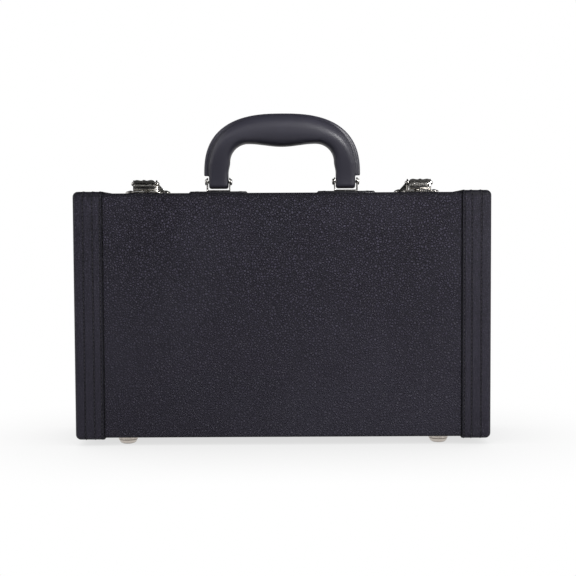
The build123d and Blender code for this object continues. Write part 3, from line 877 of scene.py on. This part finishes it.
def ring(
    centre: Vector, first: Vector, second: Vector, count: int, power: float = 1.0
) -> list[Vector]:
    """Points of a closed ring.

    Args:
        centre: Middle of the ring.
        first: Reach from the middle at the start of the turn.
        second: Reach from the middle after a quarter of the turn.
        count: Number of points.
        power: 1 gives an ellipse, less a squarer ring.

    Returns:
        The points.
    """
    points = []
    for k in range(count):
        angle = 2 * math.pi * k / count
        a, b = (math.copysign(abs(v) ** power, v) for v in (math.cos(angle), math.sin(angle)))
        points.append(centre + first * a + second * b)
    return points


def smooth_step(share: float) -> float:
    """Eases 0 to 1 in and out, and holds it outside."""
    t = min(1.0, max(0.0, share))
    return t * t * (3 - 2 * t)


def softened(node: bpy.types.Object, name: str, width: float) -> bpy.types.Object:
    """Copies a stamped metal piece with a small round on its sharp edges.

    Args:
        node: The solid to copy.
        name: Name of the new piece.
        width: Width of the round in metres.

    Returns:
        The new piece, which has no parent.
    """
    work = bmesh.new()
    work.from_mesh(node.data)
    bmesh.ops.remove_doubles(work, verts=work.verts, dist=WELD)
    bmesh.ops.dissolve_limit(work, angle_limit=math.radians(1.0), verts=work.verts, edges=work.edges)
    piece = piece_from(name, work, bevel(width, 2, 38.0))
    shade_by_angle(piece, 32.0)
    return piece


# Sub-assemblies


@dataclass
class CaseShell:
    """The stitched sleeve over each end of each half."""

    finishes: Finishes
    sleeve_edge: float = 151.3 * MM
    sleeve_end: float = 176.0 * MM
    sleeve_low: float = 5.0 * MM
    sleeve_high: float = 215.0 * MM
    sleeve_face: float = 50.0 * MM
    sleeve_sheet: float = 1.45 * MM
    seam: float = -10.0 * MM
    seam_half_gap: float = 0.2 * MM
    face_radius: float = 4.5 * MM
    face_facets: int = 7
    rim_radius: float = 0.5 * MM
    rows: tuple[float, ...] = (153.1 * MM, 159.3 * MM, 167.2 * MM)
    seam_margin: float = 1.2 * MM
    path_step: float = 0.2 * MM
    bend_steps: int = 36
    stitch_pitch: float = 3.4 * MM
    stitch_length: float = 2.5 * MM
    thread_radius: float = 0.33 * MM
    thread_sides: int = 6
    thread_spans: int = 6
    thread_lift: float = 0.35
    thread_dip: float = 1.1
    thread_taper: float = 0.55

    def build(self) -> None:
        """Builds the four sleeves with their stitches."""
        for half in Half:
            for end in End:
                self.sleeve(half, end)
                self.stitches(half, end)

    def sleeve(self, half: Half, end: End) -> None:
        """Builds one sleeve as a thin tray with rolled rims, in place of its solid.

        Args:
            half: The half of the case.
            end: The end of the case.
        """
        name = f"{half.body}_sleeve_{end.hand}_cover"
        sheet = ("SOLIDIFY", {"thickness": self.sleeve_sheet, "offset": -1.0})
        skin = new_piece(name, self.tray(name, half, end))
        piece = modified(skin, sheet, bevel(self.rim_radius, 3, 60.0))
        shade_by_angle(piece, 50.0)
        self.finishes.dress(piece, "sleeve_leather")
        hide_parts(f"{half.body}_sleeve_{end.hand}")
        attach(piece, half.body)

    def tray(self, name: str, half: Half, end: End) -> bpy.types.Mesh:
        """Makes the sleeve's outer skin: face, top, bottom and end with ball-round edges.

        Args:
            name: The mesh's name.
            half: The half of the case.
            end: The end of the case.

        Returns:
            The open skin.
        """
        radius = self.face_radius
        facets = self.face_facets
        steps = [radius * math.tan(math.pi / 4 * k / facets) for k in range(facets + 1)]
        seam = self.seam + half.value * self.seam_half_gap
        across = [self.sleeve_edge, *(self.sleeve_end - radius + u for u in steps)]
        deep = [half.value * seam, *(self.sleeve_face - radius + u for u in steps)]
        tall = [self.sleeve_low + radius - u for u in reversed(steps)]
        tall += [self.sleeve_high - radius + u for u in steps]
        core = Vector((self.sleeve_end - radius, self.sleeve_face - radius, 0))
        middle = (self.sleeve_low + self.sleeve_high) / 2
        half_height = (self.sleeve_high - self.sleeve_low) / 2 - radius
        points: dict[tuple[float, float, float], int] = {}
        faces: list[tuple[int, ...]] = []

        def rounded(x: float, y: float, z: float) -> int:
            """Number of the skin's point under a point of the sharp box.

            Args:
                x: Point's X in metres, outward.
                y: Its Y, outward.
                z: Its Z.

            Returns:
                The point's number.
            """
            level = middle + max(-half_height, min(half_height, z - middle))
            near = Vector((min(x, core.x), min(y, core.y), level))
            away = (Vector((x, y, z)) - near).normalized()
            at = near + away * radius
            key = (round(end.value * at.x, 7), round(half.value * at.y, 7), round(at.z, 7))
            return points.setdefault(key, len(points))

        def patch(
            first: list[float], second: list[float], place: Callable[[float, float], Point]
        ) -> None:
            """Adds one side of the box as a grid.

            Args:
                first: The grid's values one way.
                second: Its values the other way.
                place: Turns one value of each into a point of the box.
            """
            for a, b in pairwise(first):
                for c, d in pairwise(second):
                    corners = [rounded(*place(*uv)) for uv in ((a, c), (b, c), (b, d), (a, d))]
                    faces.append(tuple(dict.fromkeys(corners)))

        patch(across, tall, lambda u, v: (u, self.sleeve_face, v))
        patch(deep, tall, lambda u, v: (self.sleeve_end, u, v))
        patch(across, deep, lambda u, v: (u, v, self.sleeve_high))
        patch(across, deep, lambda u, v: (u, v, self.sleeve_low))
        skin = mesh_from(name, points, [f for f in faces if len(f) > 2])
        outward = skin.polygons[0].normal.y * half.value
        if outward < 0:
            skin.flip_normals()
        return skin

    def row_path(self, half: Half) -> list[tuple[Vector, Vector]]:
        """Points along a stitch row, from the seam over the top, down the face and back under.

        Args:
            half: The half of the case.

        Returns:
            Points with the outward direction at each, a path step apart or so.
        """
        side, radius = half.value, self.face_radius
        start = self.seam + side * self.seam_margin
        bend = side * (self.sleeve_face - radius)
        out: list[tuple[Vector, Vector]] = []

        def run(a: tuple[float, float], b: tuple[float, float], normal: Vector) -> None:
            """Adds a straight run between two (y, z) points.

            Args:
                a: First point.
                b: Last point.
                normal: Outward direction.
            """
            steps = max(2, int(math.dist(a, b) / self.path_step))
            first, last = Vector((0, *a)), Vector((0, *b))
            out.extend((first.lerp(last, i / steps), normal) for i in range(steps))

        def arc(z: float, first: float, last: float) -> None:
            """Adds a bend about the edge of the face.

            Args:
                z: Height of the bend's centre.
                first: Angle at its start, in degrees.
                last: Angle at its end.
            """
            for i in range(self.bend_steps):
                angle = math.radians(first + (last - first) * i / self.bend_steps)
                normal = Vector((0, side * math.cos(angle), math.sin(angle)))
                out.append((Vector((0, bend, z)) + normal * radius, normal))

        run((start, self.sleeve_high), (bend, self.sleeve_high), Vector((0, 0, 1)))
        arc(self.sleeve_high - radius, 90, 0)
        face, low, high = side * self.sleeve_face, self.sleeve_low + radius, self.sleeve_high - radius
        run((face, high), (face, low), Vector((0, side, 0)))
        arc(self.sleeve_low + radius, 0, -90)
        run((bend, self.sleeve_low), (start, self.sleeve_low), Vector((0, 0, -1)))
        return out

    def stitches(self, half: Half, end: End) -> None:
        """Sews the three rows of one sleeve as small loops of thread that dip in at both ends.

        Args:
            half: The half of the case.
            end: The end of the case.
        """
        path = self.row_path(half)
        steps = ((b - a).length for (a, _), (b, _) in pairwise(path))
        lengths = list(accumulate(steps, initial=0.0))
        points: list[Vector] = []
        faces: list[tuple[int, ...]] = []

        def point_at(along: float) -> tuple[Vector, Vector]:
            """Finds a place on the row.

            Args:
                along: Distance along the row in metres.

            Returns:
                The point and the outward direction there.
            """
            index = min(max(bisect_right(lengths, along) - 1, 0), len(path) - 2)
            (start, normal), (stop, _) = path[index : index + 2]
            return start + (stop - start).normalized() * (along - lengths[index]), normal

        for row in self.rows:
            place = self.stitch_pitch / 2
            while place < lengths[-1] - self.stitch_pitch / 2:
                rings = []
                for i in range(self.thread_spans + 1):
                    share = i / self.thread_spans * 2 - 1
                    centre, normal = point_at(place + share * self.stitch_length / 2)
                    lift = self.thread_radius * (self.thread_lift - self.thread_dip * share**4)
                    size = self.thread_radius * (1.0 - self.thread_taper * share**6)
                    centre = centre + normal * lift + Vector((end.value * row, 0, 0))
                    rings.append(ring(centre, Vector((size, 0, 0)), normal * size, self.thread_sides))
                ring_points, ring_faces = loft(rings)
                faces += [tuple(i + len(points) for i in f) for f in ring_faces]
                points += ring_points
                place += self.stitch_pitch
        name = f"{half.body}_stitches_{end.hand}"
        piece = new_piece(name, mesh_from(name, points, faces))
        self.finishes.wear(piece, self.finishes.thread)
        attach(piece, half.body)


@dataclass
class DropHandle:
    """Moulded handle: a round grip that runs into flat tongues, with a rib around its back."""

    finishes: Finishes
    axis_y: float = 4.0 * MM
    pin_z: float = 224.2 * MM
    shoulder_z: float = 229.6 * MM
    top_z: float = 284.2 * MM
    rib_half_width: float = 68.7 * MM
    tongue_outer: float = 64.4 * MM
    tongue_inner: float = 47.2 * MM
    tongue_low: float = 218.3 * MM
    squareness: float = 2.6
    grip_low: float = 255.0 * MM
    belly: float = 2.6 * MM
    bend_radius: float = 16.0 * MM
    leg_flare: float = 1.5 * MM
    flare_low: float = 232.0 * MM
    foot_radius: float = 6.7 * MM
    grip_half_depth: float = 13.0 * MM
    swell_low: float = 220.3 * MM
    swell_height: float = 46.0 * MM
    tongue_half_depth: float = 5.9 * MM
    rib_half_depth: float = 2.6 * MM
    crown_drop: float = 1.05 * MM
    rib_sink: float = 9.0 * MM
    rib_aim: float = 6.0 * MM
    rib_steps: int = 120
    leg_steps: int = 25
    arch_steps: int = 96
    flat_power: float = 4.5
    round_power: float = 2.3
    foot_shrink: float = 0.16
    foot_rings: float = 1.6
    ring_points: int = 48
    voxel: float = 0.4 * MM

    def build(self) -> None:
        """Builds the grip and its rib and joins them into one moulding."""
        work = bmesh.new()
        for points, faces in (loft(self.grip_rings()), loft(self.rib_rings())):
            verts = [work.verts.new(p) for p in points]
            for face in faces:
                work.faces.new([verts[i] for i in face])
        bmesh.ops.recalc_face_normals(work, faces=work.faces)
        piece = piece_from(
            "handle_moulding",
            work,
            ("REMESH", {"mode": "VOXEL", "voxel_size": self.voxel, "adaptivity": 0.0}),
            smoothing(20),
            ("DECIMATE", {"ratio": 0.3}),
        )
        piece.data.shade_smooth()
        self.finishes.dress(piece, "handle_plastic")
        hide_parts("handle_grip")
        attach(piece, "handle")

    @staticmethod
    def _reach(inside: Callable[[float, float], bool], angle: float) -> float:
        """Distance from the bend centre to an outline.

        Args:
            inside: Whether a point, measured from the bend centre, is inside the outline.
            angle: Direction from the bend centre, 0 to pi.

        Returns:
            The distance in metres.
        """
        low, high = 0.0, 0.2
        for _ in range(40):
            middle = (low + high) / 2
            if inside(middle * math.cos(angle), middle * math.sin(angle)):
                low = middle
            else:
                high = middle
        return low

    @property
    def bend_z(self) -> float:
        """Height at which the hand gap starts to bend."""
        return self.grip_low + self.belly - self.bend_radius

    @property
    def swell(self) -> float:
        """How much deeper the grip is than its tongues, to each side."""
        return self.grip_half_depth - self.tongue_half_depth

    def _in_arch(self, x: float, z: float) -> bool:
        """Whether a point is inside the squarish arch of the grip's back.

        Args:
            x: Sideways from the bend centre, in metres.
            z: Upward from the bend centre.

        Returns:
            True inside.
        """
        crown = self.top_z - self.crown_drop
        rise = (self.bend_z + z - self.shoulder_z) / (crown - self.shoulder_z)
        return abs(x / self.tongue_outer) ** self.squareness + abs(rise) ** self.squareness < 1

    def _in_gap(self, x: float, z: float) -> bool:
        """Whether a point is inside the hand gap, whose ceiling bellies down.

        Args:
            x: Sideways from the bend centre, in metres.
            z: Upward from the bend centre.

        Returns:
            True inside.
        """
        inner = self.tongue_inner - self.leg_flare - self.bend_radius
        if abs(x) > inner:
            return (abs(x) - inner) ** 2 + z**2 < self.bend_radius**2
        return z < self.bend_radius - self.belly * 0.5 * (1 + math.cos(math.pi * x / inner))

    def _stations(self) -> list[tuple[Vector, Vector, float]]:
        """Stations of the grip from the left tongue's foot over the arch to the right one's.

        Returns:
            For each station the outer and inner outline points and the half depth.
        """
        stations: list[tuple[Vector, Vector, float]] = []

        def half_depth(z: float) -> float:
            """Half depth of the moulding at a height.

            Args:
                z: The height.

            Returns:
                The half depth.
            """
            share = smooth_step((z - self.swell_low) / self.swell_height)
            depth = self.tongue_half_depth + self.swell * share
            if z > self.pin_z:
                return depth
            return min(depth, math.sqrt(self.foot_radius**2 - (self.pin_z - z) ** 2))

        for i in range(self.leg_steps):
            z = self.tongue_low + (self.bend_z - self.tongue_low) * i / self.leg_steps
            outer = Vector((-self.tongue_outer, self.axis_y, z))
            flare = self.leg_flare * smooth_step((z - self.flare_low) / (self.bend_z - self.flare_low))
            inner = Vector((-self.tongue_inner + flare, self.axis_y, z))
            stations.append((outer, inner, half_depth(z)))
        for i in range(self.arch_steps + 1):
            angle = math.pi * (1 - i / self.arch_steps)
            direction = Vector((math.cos(angle), 0, math.sin(angle)))
            centre = Vector((0, self.axis_y, self.bend_z))
            outer = centre + direction * self._reach(self._in_arch, angle)
            inner = centre + direction * self._reach(self._in_gap, angle)
            stations.append((outer, inner, half_depth((outer.z + inner.z) / 2)))
        flip = Matrix.Diagonal((-1.0, 1.0, 1.0))
        legs = reversed(stations[: self.leg_steps])
        return stations + [(flip @ outer, flip @ inner, depth) for outer, inner, depth in legs]

    def grip_rings(self) -> list[list[Vector]]:
        """Rings of the grip: nearly round in the hand, squarer along the tongues.

        Returns:
            Rings from the left foot to the right one.
        """
        rings = []
        stations = self._stations()
        for number, (outer, inner, depth) in enumerate(stations):
            middle, reach = (outer + inner) / 2, (outer - inner) / 2
            roundness = max(0.0, (depth - self.tongue_half_depth) / self.swell)
            power = 2 / (self.flat_power + (self.round_power - self.flat_power) * roundness)
            from_foot = min(number, len(stations) - 1 - number)
            shrink = 1.0 - self.foot_shrink * max(0.0, 1 - from_foot / self.foot_rings) ** 2
            sideways = Vector((0, depth * shrink, 0))
            rings.append(ring(middle, reach * shrink, sideways, self.ring_points, power))
        return rings

    def rib_rings(self) -> list[list[Vector]]:
        """Rings of the flat rib that stands out behind the grip, down to its two shoulders.

        Returns:
            Rings from the left shoulder to the right one.
        """
        rings = []
        side = ((-1.0, -0.5), (-1.0, 0.5), (-0.7, 1.0), (0.7, 1.0))
        profile = [*side, *((-a, -b) for a, b in side)]
        for i in range(self.rib_steps + 1):
            t = math.pi * (1 - i / self.rib_steps)
            reach = abs(math.cos(t)) ** (2 / self.squareness)
            rise = abs(math.sin(t)) ** (2 / self.squareness)
            across = math.copysign(reach * self.rib_half_width, math.cos(t))
            height = self.shoulder_z + rise * (self.top_z - self.shoulder_z)
            outer = Vector((across, self.axis_y, height))
            inward = (Vector((0, self.axis_y, self.bend_z - self.rib_aim)) - outer).normalized()
            if outer.z < self.bend_z:
                inward = Vector((-math.copysign(1.0, outer.x), 0, 0))
            inner = outer + inward * self.rib_sink
            middle, half = (outer + inner) / 2, (outer - inner) / 2
            deep = Vector((0, self.rib_half_depth, 0))
            rings.append([middle + half * a + deep * b for a, b in profile])
        return rings


@dataclass
class MetalFittings:
    """Stamped, drawn and bent metal pieces, each copied with softened edges."""

    finishes: Finishes
    soft_edges: dict[str, float] = field(
        default_factory=lambda: {
            "handle_bracket": 0.22 * MM,
            "handle_plate": 0.3 * MM,
            "latch_plate": 0.25 * MM,
            "latch_lever": 0.28 * MM,
            "keeper": 0.3 * MM,
            "base_hinge_leaf": 0.2 * MM,
            "lid_hinge_leaf": 0.2 * MM,
        }
    )
    stud_share: float = 0.4
    stud_edge: float = 0.02 * MM
    rod_radius: float = 0.75 * MM
    rod_height: float = 4.3 * MM
    rod_setback: float = 0.6 * MM
    rod_inset: float = 0.3 * MM
    rod_chamfer: float = 0.4 * MM

    def cross_rod(self, hand: str) -> None:
        """Lays a thin bright rod across a lever, in the hollow under its finger tab.

        Args:
            hand: Side of the case, "left" or "right".
        """
        low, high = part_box(f"latch_lever_{hand}")
        centre = Vector(((low.x + high.x) / 2, low.y + self.rod_setback, low.z + self.rod_height))
        half = (high.x - low.x) / 2 - self.rod_inset
        full = half - self.rod_chamfer
        rings = []
        for along, share in ((-half, 0.5), (-full, 1.0), (full, 1.0), (half, 0.5)):
            size = self.rod_radius * share
            middle = centre + Vector((along, 0, 0))
            rings.append(ring(middle, Vector((0, size, 0)), Vector((0, 0, size)), 16))
        piece = lofted(f"latch_rod_{hand}", rings)
        shade_by_angle(piece)
        self.finishes.dress(piece, "polished_nickel")
        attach(piece, f"lever_{hand}")

    def flatten_studs(self, frame: dict[str, object]) -> None:
        """Hammers the heads of the rivets on the handle's plates down to low domes.

        Args:
            frame: The loaded frame.
        """
        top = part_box("handle_plate_left")[1].z
        piece = softened(frame["nodes"]["handle_plate_rivets"], "handle_plate_studs", self.stud_edge)
        for vert in piece.data.vertices:
            if vert.co.z > top:
                vert.co.z = top + (vert.co.z - top) * self.stud_share
        self.finishes.dress(piece, "black_metal")
        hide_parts("handle_plate_rivets")
        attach(piece, "base")

    def build(self, frame: dict[str, object], slots: dict[str, str]) -> None:
        """Replaces each stamped solid by its softened copy.

        Args:
            frame: The loaded frame.
            slots: Material slot of each CAD node.
        """
        bodies = {
            node: body
            for body, members in frame["record"]["behaviour"]["bodies"].items()
            for node in members
        }
        for stem, width in self.soft_edges.items():
            for end in End:
                node = f"{stem}_{end.hand}"
                piece = softened(frame["nodes"][node], f"{node}_stamping", width)
                self.finishes.dress(piece, slots[node])
                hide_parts(node)
                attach(piece, bodies[node])
        self.flatten_studs(frame)
        for end in End:
            self.cross_rod(end.hand)


@dataclass
class FittedInterior:
    """Flocked insert with its wells in the base, and the hold-down cushion in the lid."""

    finishes: Finishes
    insert_nodes: tuple[str, ...] = (
        "insert_floor",
        "insert_border",
        "insert_long_rails",
        "insert_dividers",
        "insert_bell_rails",
    )
    insert_spread: float = 0.05 * MM
    insert_middle_z: float = 110.0 * MM
    insert_voxel: float = 1.7 * MM
    bell_low: tuple[float, float] = (76.0 * MM, 85.0 * MM)
    bell_high: tuple[float, float] = (164.5 * MM, 201.0 * MM)
    bell_squareness: float = 0.12
    panel_y: float = 42.35 * MM
    plush_sheet: float = 0.5 * MM
    plush_edge: float = 0.3 * MM
    cushion_start: float = 2.2 * MM
    cushion_rise: float = 6.6 * MM
    cushion_voxel: float = 5.0 * MM
    cushion_round: float = 4.0 * MM
    cushion_cap: float = 8.5 * MM
    cushion_swell: float = 2.5 * MM
    pad_pressure: float = 0.85
    pad_frames: int = 20
    piping_radius: float = 1.3 * MM
    piping_corner: float = 6.0 * MM
    corner_steps: int = 8

    def build(self, frame: dict[str, object]) -> None:
        """Builds the insert, the lining of its deep well and the lid's pad.

        Args:
            frame: The loaded frame.
        """
        self.insert(frame)
        self.bell_lining()
        self.cushion()

    def bell_lining(self) -> None:
        """Glues a thin plush sheet to the panel at the bottom of the bell's well."""
        (low_x, low_z), (high_x, high_z) = self.bell_low, self.bell_high
        half_x, half_z = (high_x - low_x) / 2, (high_z - low_z) / 2
        rings = []
        sheet = self.plush_sheet
        for lift, shrink in ((0.0, 0.0), (sheet, 0.0), (sheet + self.plush_edge, sheet)):
            middle = Vector((low_x + half_x, self.panel_y - lift, low_z + half_z))
            first, second = Vector((half_x - shrink, 0, 0)), Vector((0, 0, half_z - shrink))
            rings.append(ring(middle, first, second, 48, self.bell_squareness))
        piece = lofted("bell_well_lining", rings)
        shade_by_angle(piece, 40.0)
        self.finishes.dress(piece, "plush")
        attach(piece, "base")

    def insert(self, frame: dict[str, object]) -> None:
        """Melts the insert's rails and pads into one padded block with rounded wells.

        Args:
            frame: The loaded frame.
        """
        work = bmesh.new()
        for node in self.insert_nodes:
            work.from_mesh(frame["nodes"][node].data)
        for vert in work.verts:
            vert.co.x += math.copysign(self.insert_spread, vert.co.x)
            vert.co.z += math.copysign(self.insert_spread, vert.co.z - self.insert_middle_z)
        remesh = ("REMESH", {"mode": "VOXEL", "voxel_size": self.insert_voxel})
        piece = piece_from("fitted_insert", work, remesh, smoothing(7), ("DECIMATE", {"ratio": 0.35}))
        piece.data.shade_smooth()
        self.finishes.dress(piece, "plush")
        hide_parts(*self.insert_nodes)
        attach(piece, "base")

    def cushion(self) -> None:
        """Blows up the lid's cushion as cloth, then pipes its edge."""
        low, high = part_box("lid_cushion")
        inset = self.cushion_start
        work = bmesh.new()
        bmesh.ops.create_cube(work, size=1.0)
        for vert in work.verts:
            x = high.x - inset if vert.co.x > 0 else low.x + inset
            y = high.y - self.cushion_rise if vert.co.y > 0 else low.y
            vert.co = Vector((x, y, high.z - inset if vert.co.z > 0 else low.z + inset))
        piece = piece_from(
            "lid_pad",
            work,
            ("BEVEL", {"width": self.cushion_round, "segments": 3, "limit_method": "NONE"}),
            ("REMESH", {"mode": "VOXEL", "voxel_size": self.cushion_voxel}),
        )
        self.inflate(piece)
        self.press_into_lid(piece, low, high)
        modified(piece, smoothing(3), ("SUBSURF", {"levels": 1, "render_levels": 1}))
        self.press_into_lid(piece, low, high)
        piece.data.shade_smooth()
        self.finishes.dress(piece, "plush")
        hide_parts("lid_cushion")
        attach(piece, "lid")
        self.piping(low, high)

    def piping(self, low: Vector, high: Vector) -> None:
        """Sews a round piping along the edge of the lid's pad.

        Args:
            low: Lowest corner of the pad's room.
            high: Highest corner of the pad's room.
        """
        centre, half = (low + high) / 2, (high - low) / 2
        depth = high.y - self.cushion_rise
        inset, corner = 1.6 * self.piping_radius, self.piping_corner
        path: list[tuple[Vector, Vector]] = []
        for quarter, (sx, sz) in enumerate(((1, 1), (-1, 1), (-1, -1), (1, -1), (1, 1))):
            x, z = (sign * (reach - inset - corner) for sign, reach in ((sx, half.x), (sz, half.z)))
            pivot = Vector((centre.x + x, depth, centre.z + z))
            for step in range(self.corner_steps + 1 if quarter < 4 else 1):
                angle = math.pi / 2 * (quarter + step / self.corner_steps)
                out = Vector((math.cos(angle), 0, math.sin(angle)))
                path.append((pivot + out * corner, out))
        up = Vector((0, self.piping_radius, 0))
        rings = [ring(point, out * self.piping_radius, up, 10) for point, out in path]
        piece = lofted("lid_pad_piping", rings)
        piece.data.shade_smooth()
        self.finishes.dress(piece, "plush")
        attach(piece, "lid")

    def inflate(self, piece: bpy.types.Object) -> None:
        """Runs a short cloth simulation with pressure and keeps its capped result.

        Args:
            piece: The pad, whose vertices are moved.
        """
        rest = np.array([v.co for v in piece.data.vertices])
        cloth = piece.modifiers.new("cloth", "CLOTH")
        cloth.settings.use_pressure = True
        cloth.settings.uniform_pressure_force = self.pad_pressure
        cloth.settings.quality = 6
        cloth.settings.effector_weights.gravity = 0.0
        cloth.point_cache.frame_start = 1
        cloth.point_cache.frame_end = self.pad_frames
        scene = bpy.context.scene
        for number in range(1, self.pad_frames + 1):
            scene.frame_set(number)
        graph = bpy.context.evaluated_depsgraph_get()
        moved = np.array([v.co for v in piece.evaluated_get(graph).data.vertices])
        piece.modifiers.clear()
        scene.frame_set(1)
        step = moved - rest
        size = np.linalg.norm(step, axis=1, keepdims=True)
        LOG.info("the pad swells by up to %.1f mm", float(size.max()) / MM)
        step = step * np.minimum(1.0, self.cushion_cap / np.maximum(size, 1e-9))
        piece.data.vertices.foreach_set("co", (rest + step).astype(np.float32).ravel())

    def press_into_lid(self, piece: bpy.types.Object, low: Vector, high: Vector) -> None:
        """Keeps the pad inside its room and flat where it is glued to the lining.

        Args:
            piece: The pad, whose vertices are moved.
            low: Lowest corner of the pad's room.
            high: Highest corner of the pad's room.
        """
        for vert in piece.data.vertices:
            vert.co.x = min(max(vert.co.x, low.x), high.x)
            vert.co.y = min(max(vert.co.y, low.y), high.y + self.cushion_swell)
            vert.co.z = min(max(vert.co.z, low.z), high.z)


# Stage


@dataclass
class Studio:
    """Camera, soft lights and a pale floor."""

    camera_place: Point = (0.0047, -1.0436, 0.1865)
    pitch: float = math.radians(3.058)
    roll: float = math.radians(0.28)
    focal_pixels: float = 1184.0
    picture_pixels: float = 576.0
    sensor_width: float = 36.0
    floor_reach: float = 6.0
    room_level: float = 0.15
    mirrored_floor: float = 0.7
    shadow_depth: float = 0.3
    shadow_reach: float = 0.16

    def build(self) -> None:
        """Sets up everything around the case."""
        bpy.context.scene.view_settings.view_transform = "Standard"
        self.camera()
        self.room()
        self.floor()
        self.lamp("key", (0.48, -0.62, 0.6), (0.05, -0.05, 0.18), (0.3, 0.26), 7.5, mirrored=True)
        self.lamp("left_key", (-0.42, -0.62, 0.62), (-0.05, -0.05, 0.18), (0.3, 0.26), 3.8)
        self.lamp("front_fill", (-0.9, -1.8, 0.4), (0.0, 0.0, 0.14), (1.4, 1.0), 0.8)
        self.lamp("back_fill", (-0.6, 1.7, 0.5), (0.0, 0.0, 0.15), (1.6, 1.0), 6.0)
        self.flag("front_flag", (-1.8, -2.1, 0.13), (3.6, 0.0, 0.0), (0.0, -0.1, 1.35))
        self.flag("tall_flag", (-0.28, -2.05, 0.13), (0.5, 0.0, 0.0), (0.0, -0.1, 3.0))
        self.flag("low_flag", (-0.6, -0.16, 0.12), (1.2, 0.0, 0.0), (0.0, -1.95, 0.02))
        self.flag("back_flag", (-1.6, 1.2, 0.26), (3.2, 0.0, 0.0), (0.0, 0.2, 2.0))
        self.flag("top_flag", (-1.4, -1.3, 1.7), (2.8, 0.0, 0.0), (0.0, 2.4, 0.1))

    def flag(self, name: str, corner: Point, across: Point, along: Point) -> None:
        """Hangs a dark card that only mirrored rays can see.

        Args:
            name: The card's name.
            corner: One of its corners.
            across: Edge from that corner to the next one.
            along: Edge from that corner to the last one.
        """
        card = sheet_piece(name, corner, across, along)
        graph = Graph.material(name)
        weave = graph.noise(graph.place(), 40.0)
        shade = graph.blend(weave, (0.012, 0.012, 0.013), (0.02, 0.02, 0.02))
        card.data.materials.append(graph.finish({"Base Color": shade, "Roughness": 1.0}))
        card.visible_camera = False
        card.visible_diffuse = False
        card.visible_shadow = False
        card.visible_transmission = False

    def camera(self) -> None:
        """Places the camera at the case's front."""
        data = bpy.data.cameras.new("camera")
        data.sensor_width = self.sensor_width
        data.lens = self.focal_pixels / self.picture_pixels * self.sensor_width
        camera = bpy.data.objects.new("camera", data)
        turn = Matrix.Rotation(math.pi / 2 - self.pitch, 4, "X") @ Matrix.Rotation(-self.roll, 4, "Z")
        camera.matrix_world = Matrix.Translation(self.camera_place) @ turn
        bpy.context.scene.collection.objects.link(camera)
        bpy.context.scene.camera = camera

    def lamp(
        self,
        name: str,
        place: Point,
        target: Point,
        size: tuple[float, float],
        power: float,
        mirrored: bool = False,
    ) -> None:
        """Adds one soft rectangular lamp.

        Args:
            name: The lamp's name.
            place: Where it hangs.
            target: What it faces.
            size: Width and height in metres.
            power: Power in watts.
            mirrored: Whether it shows in shiny surfaces.
        """
        data = bpy.data.lights.new(name, "AREA")
        data.shape = "RECTANGLE"
        data.size, data.size_y = size
        data.energy = power
        lamp = bpy.data.objects.new(name, data)
        lamp.location = place
        lamp.rotation_euler = (Vector(target) - Vector(place)).to_track_quat("-Z", "Y").to_euler()
        lamp.visible_glossy = mirrored
        bpy.context.scene.collection.objects.link(lamp)

    def room(self) -> None:
        """Even grey light on surfaces, with white where the room itself is seen or mirrored."""
        graph = Graph(bpy.data.worlds.new("room"))
        shaded, white = (
            graph.node("ShaderNodeBackground", inputs={"Color": (1.0, 1.0, 1.0), "Strength": level})
            for level in (self.room_level, 1.0)
        )
        mirrored = graph.rays("Glossy").at_least(graph.rays("Transmission"))
        seen = graph.rays("Camera").at_least(mirrored)
        graph.end(graph.mixed(seen, shaded, white), "ShaderNodeOutputWorld")
        bpy.context.scene.world = graph.owner

    def floor(self) -> None:
        """Lays a wide pale floor: white in mirrors, clear but for a soft shadow to the camera."""
        reach, width = self.floor_reach, 2 * self.floor_reach
        floor = sheet_piece("floor", (-reach, -reach, 0.0), (width, 0.0, 0.0), (0.0, width, 0.0))
        floor.data.materials.append(self.floor_finish())
        floor.visible_shadow = False

    def floor_finish(self) -> bpy.types.Material:
        """Makes the floor's material.

        Returns:
            The material: pale, but an even white to mirrored rays and a clear pane to the
            camera, darkened near the case.
        """
        graph = Graph.material("pale_floor")
        mottle = graph.noise(graph.place(), 3.0)
        colour = graph.blend(mottle * 0.2, (0.78, 0.78, 0.78), (0.7, 0.7, 0.7))
        inputs = {"Base Color": colour, "Roughness": 0.9, "Specular IOR Level": 0.1}
        surface = graph.node("ShaderNodeBsdfPrincipled", inputs=inputs)
        white = graph.node("ShaderNodeEmission", inputs={"Strength": self.mirrored_floor})
        reach = {"Distance": self.shadow_reach}
        near = graph.node("ShaderNodeAmbientOcclusion", {"samples": 16}, reach, output="AO")
        limits = {"Value": near, "To Min": 1.0 - self.shadow_depth}
        tint = graph.node("ShaderNodeMapRange", inputs=limits)
        clear = graph.node("ShaderNodeBsdfTransparent", inputs={"Color": tint})
        surface = graph.mixed(graph.rays("Glossy"), surface, white)
        graph.end(graph.mixed(graph.rays("Camera"), surface, clear))
        return graph.owner


def main() -> None:
    """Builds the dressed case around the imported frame."""
    logging.basicConfig(level=logging.INFO, format="%(message)s")
    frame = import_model()
    finishes = Finishes()
    slots = {part["node"]: part["material_slot"] for part in frame["record"]["subparts"]}
    for node, piece in frame["nodes"].items():
        finishes.dress(piece, slots[node])
    builders: list[tuple[str, Callable[[], None]]] = [
        ("case shell", CaseShell(finishes).build),
        ("drop handle", DropHandle(finishes).build),
        ("metal fittings", lambda: MetalFittings(finishes).build(frame, slots)),
        ("fitted interior", lambda: FittedInterior(finishes).build(frame)),
        ("studio", Studio().build),
    ]
    for label, build in builders:
        build()
    bpy.context.view_layer.update()


if __name__ == "__main__":
    main()
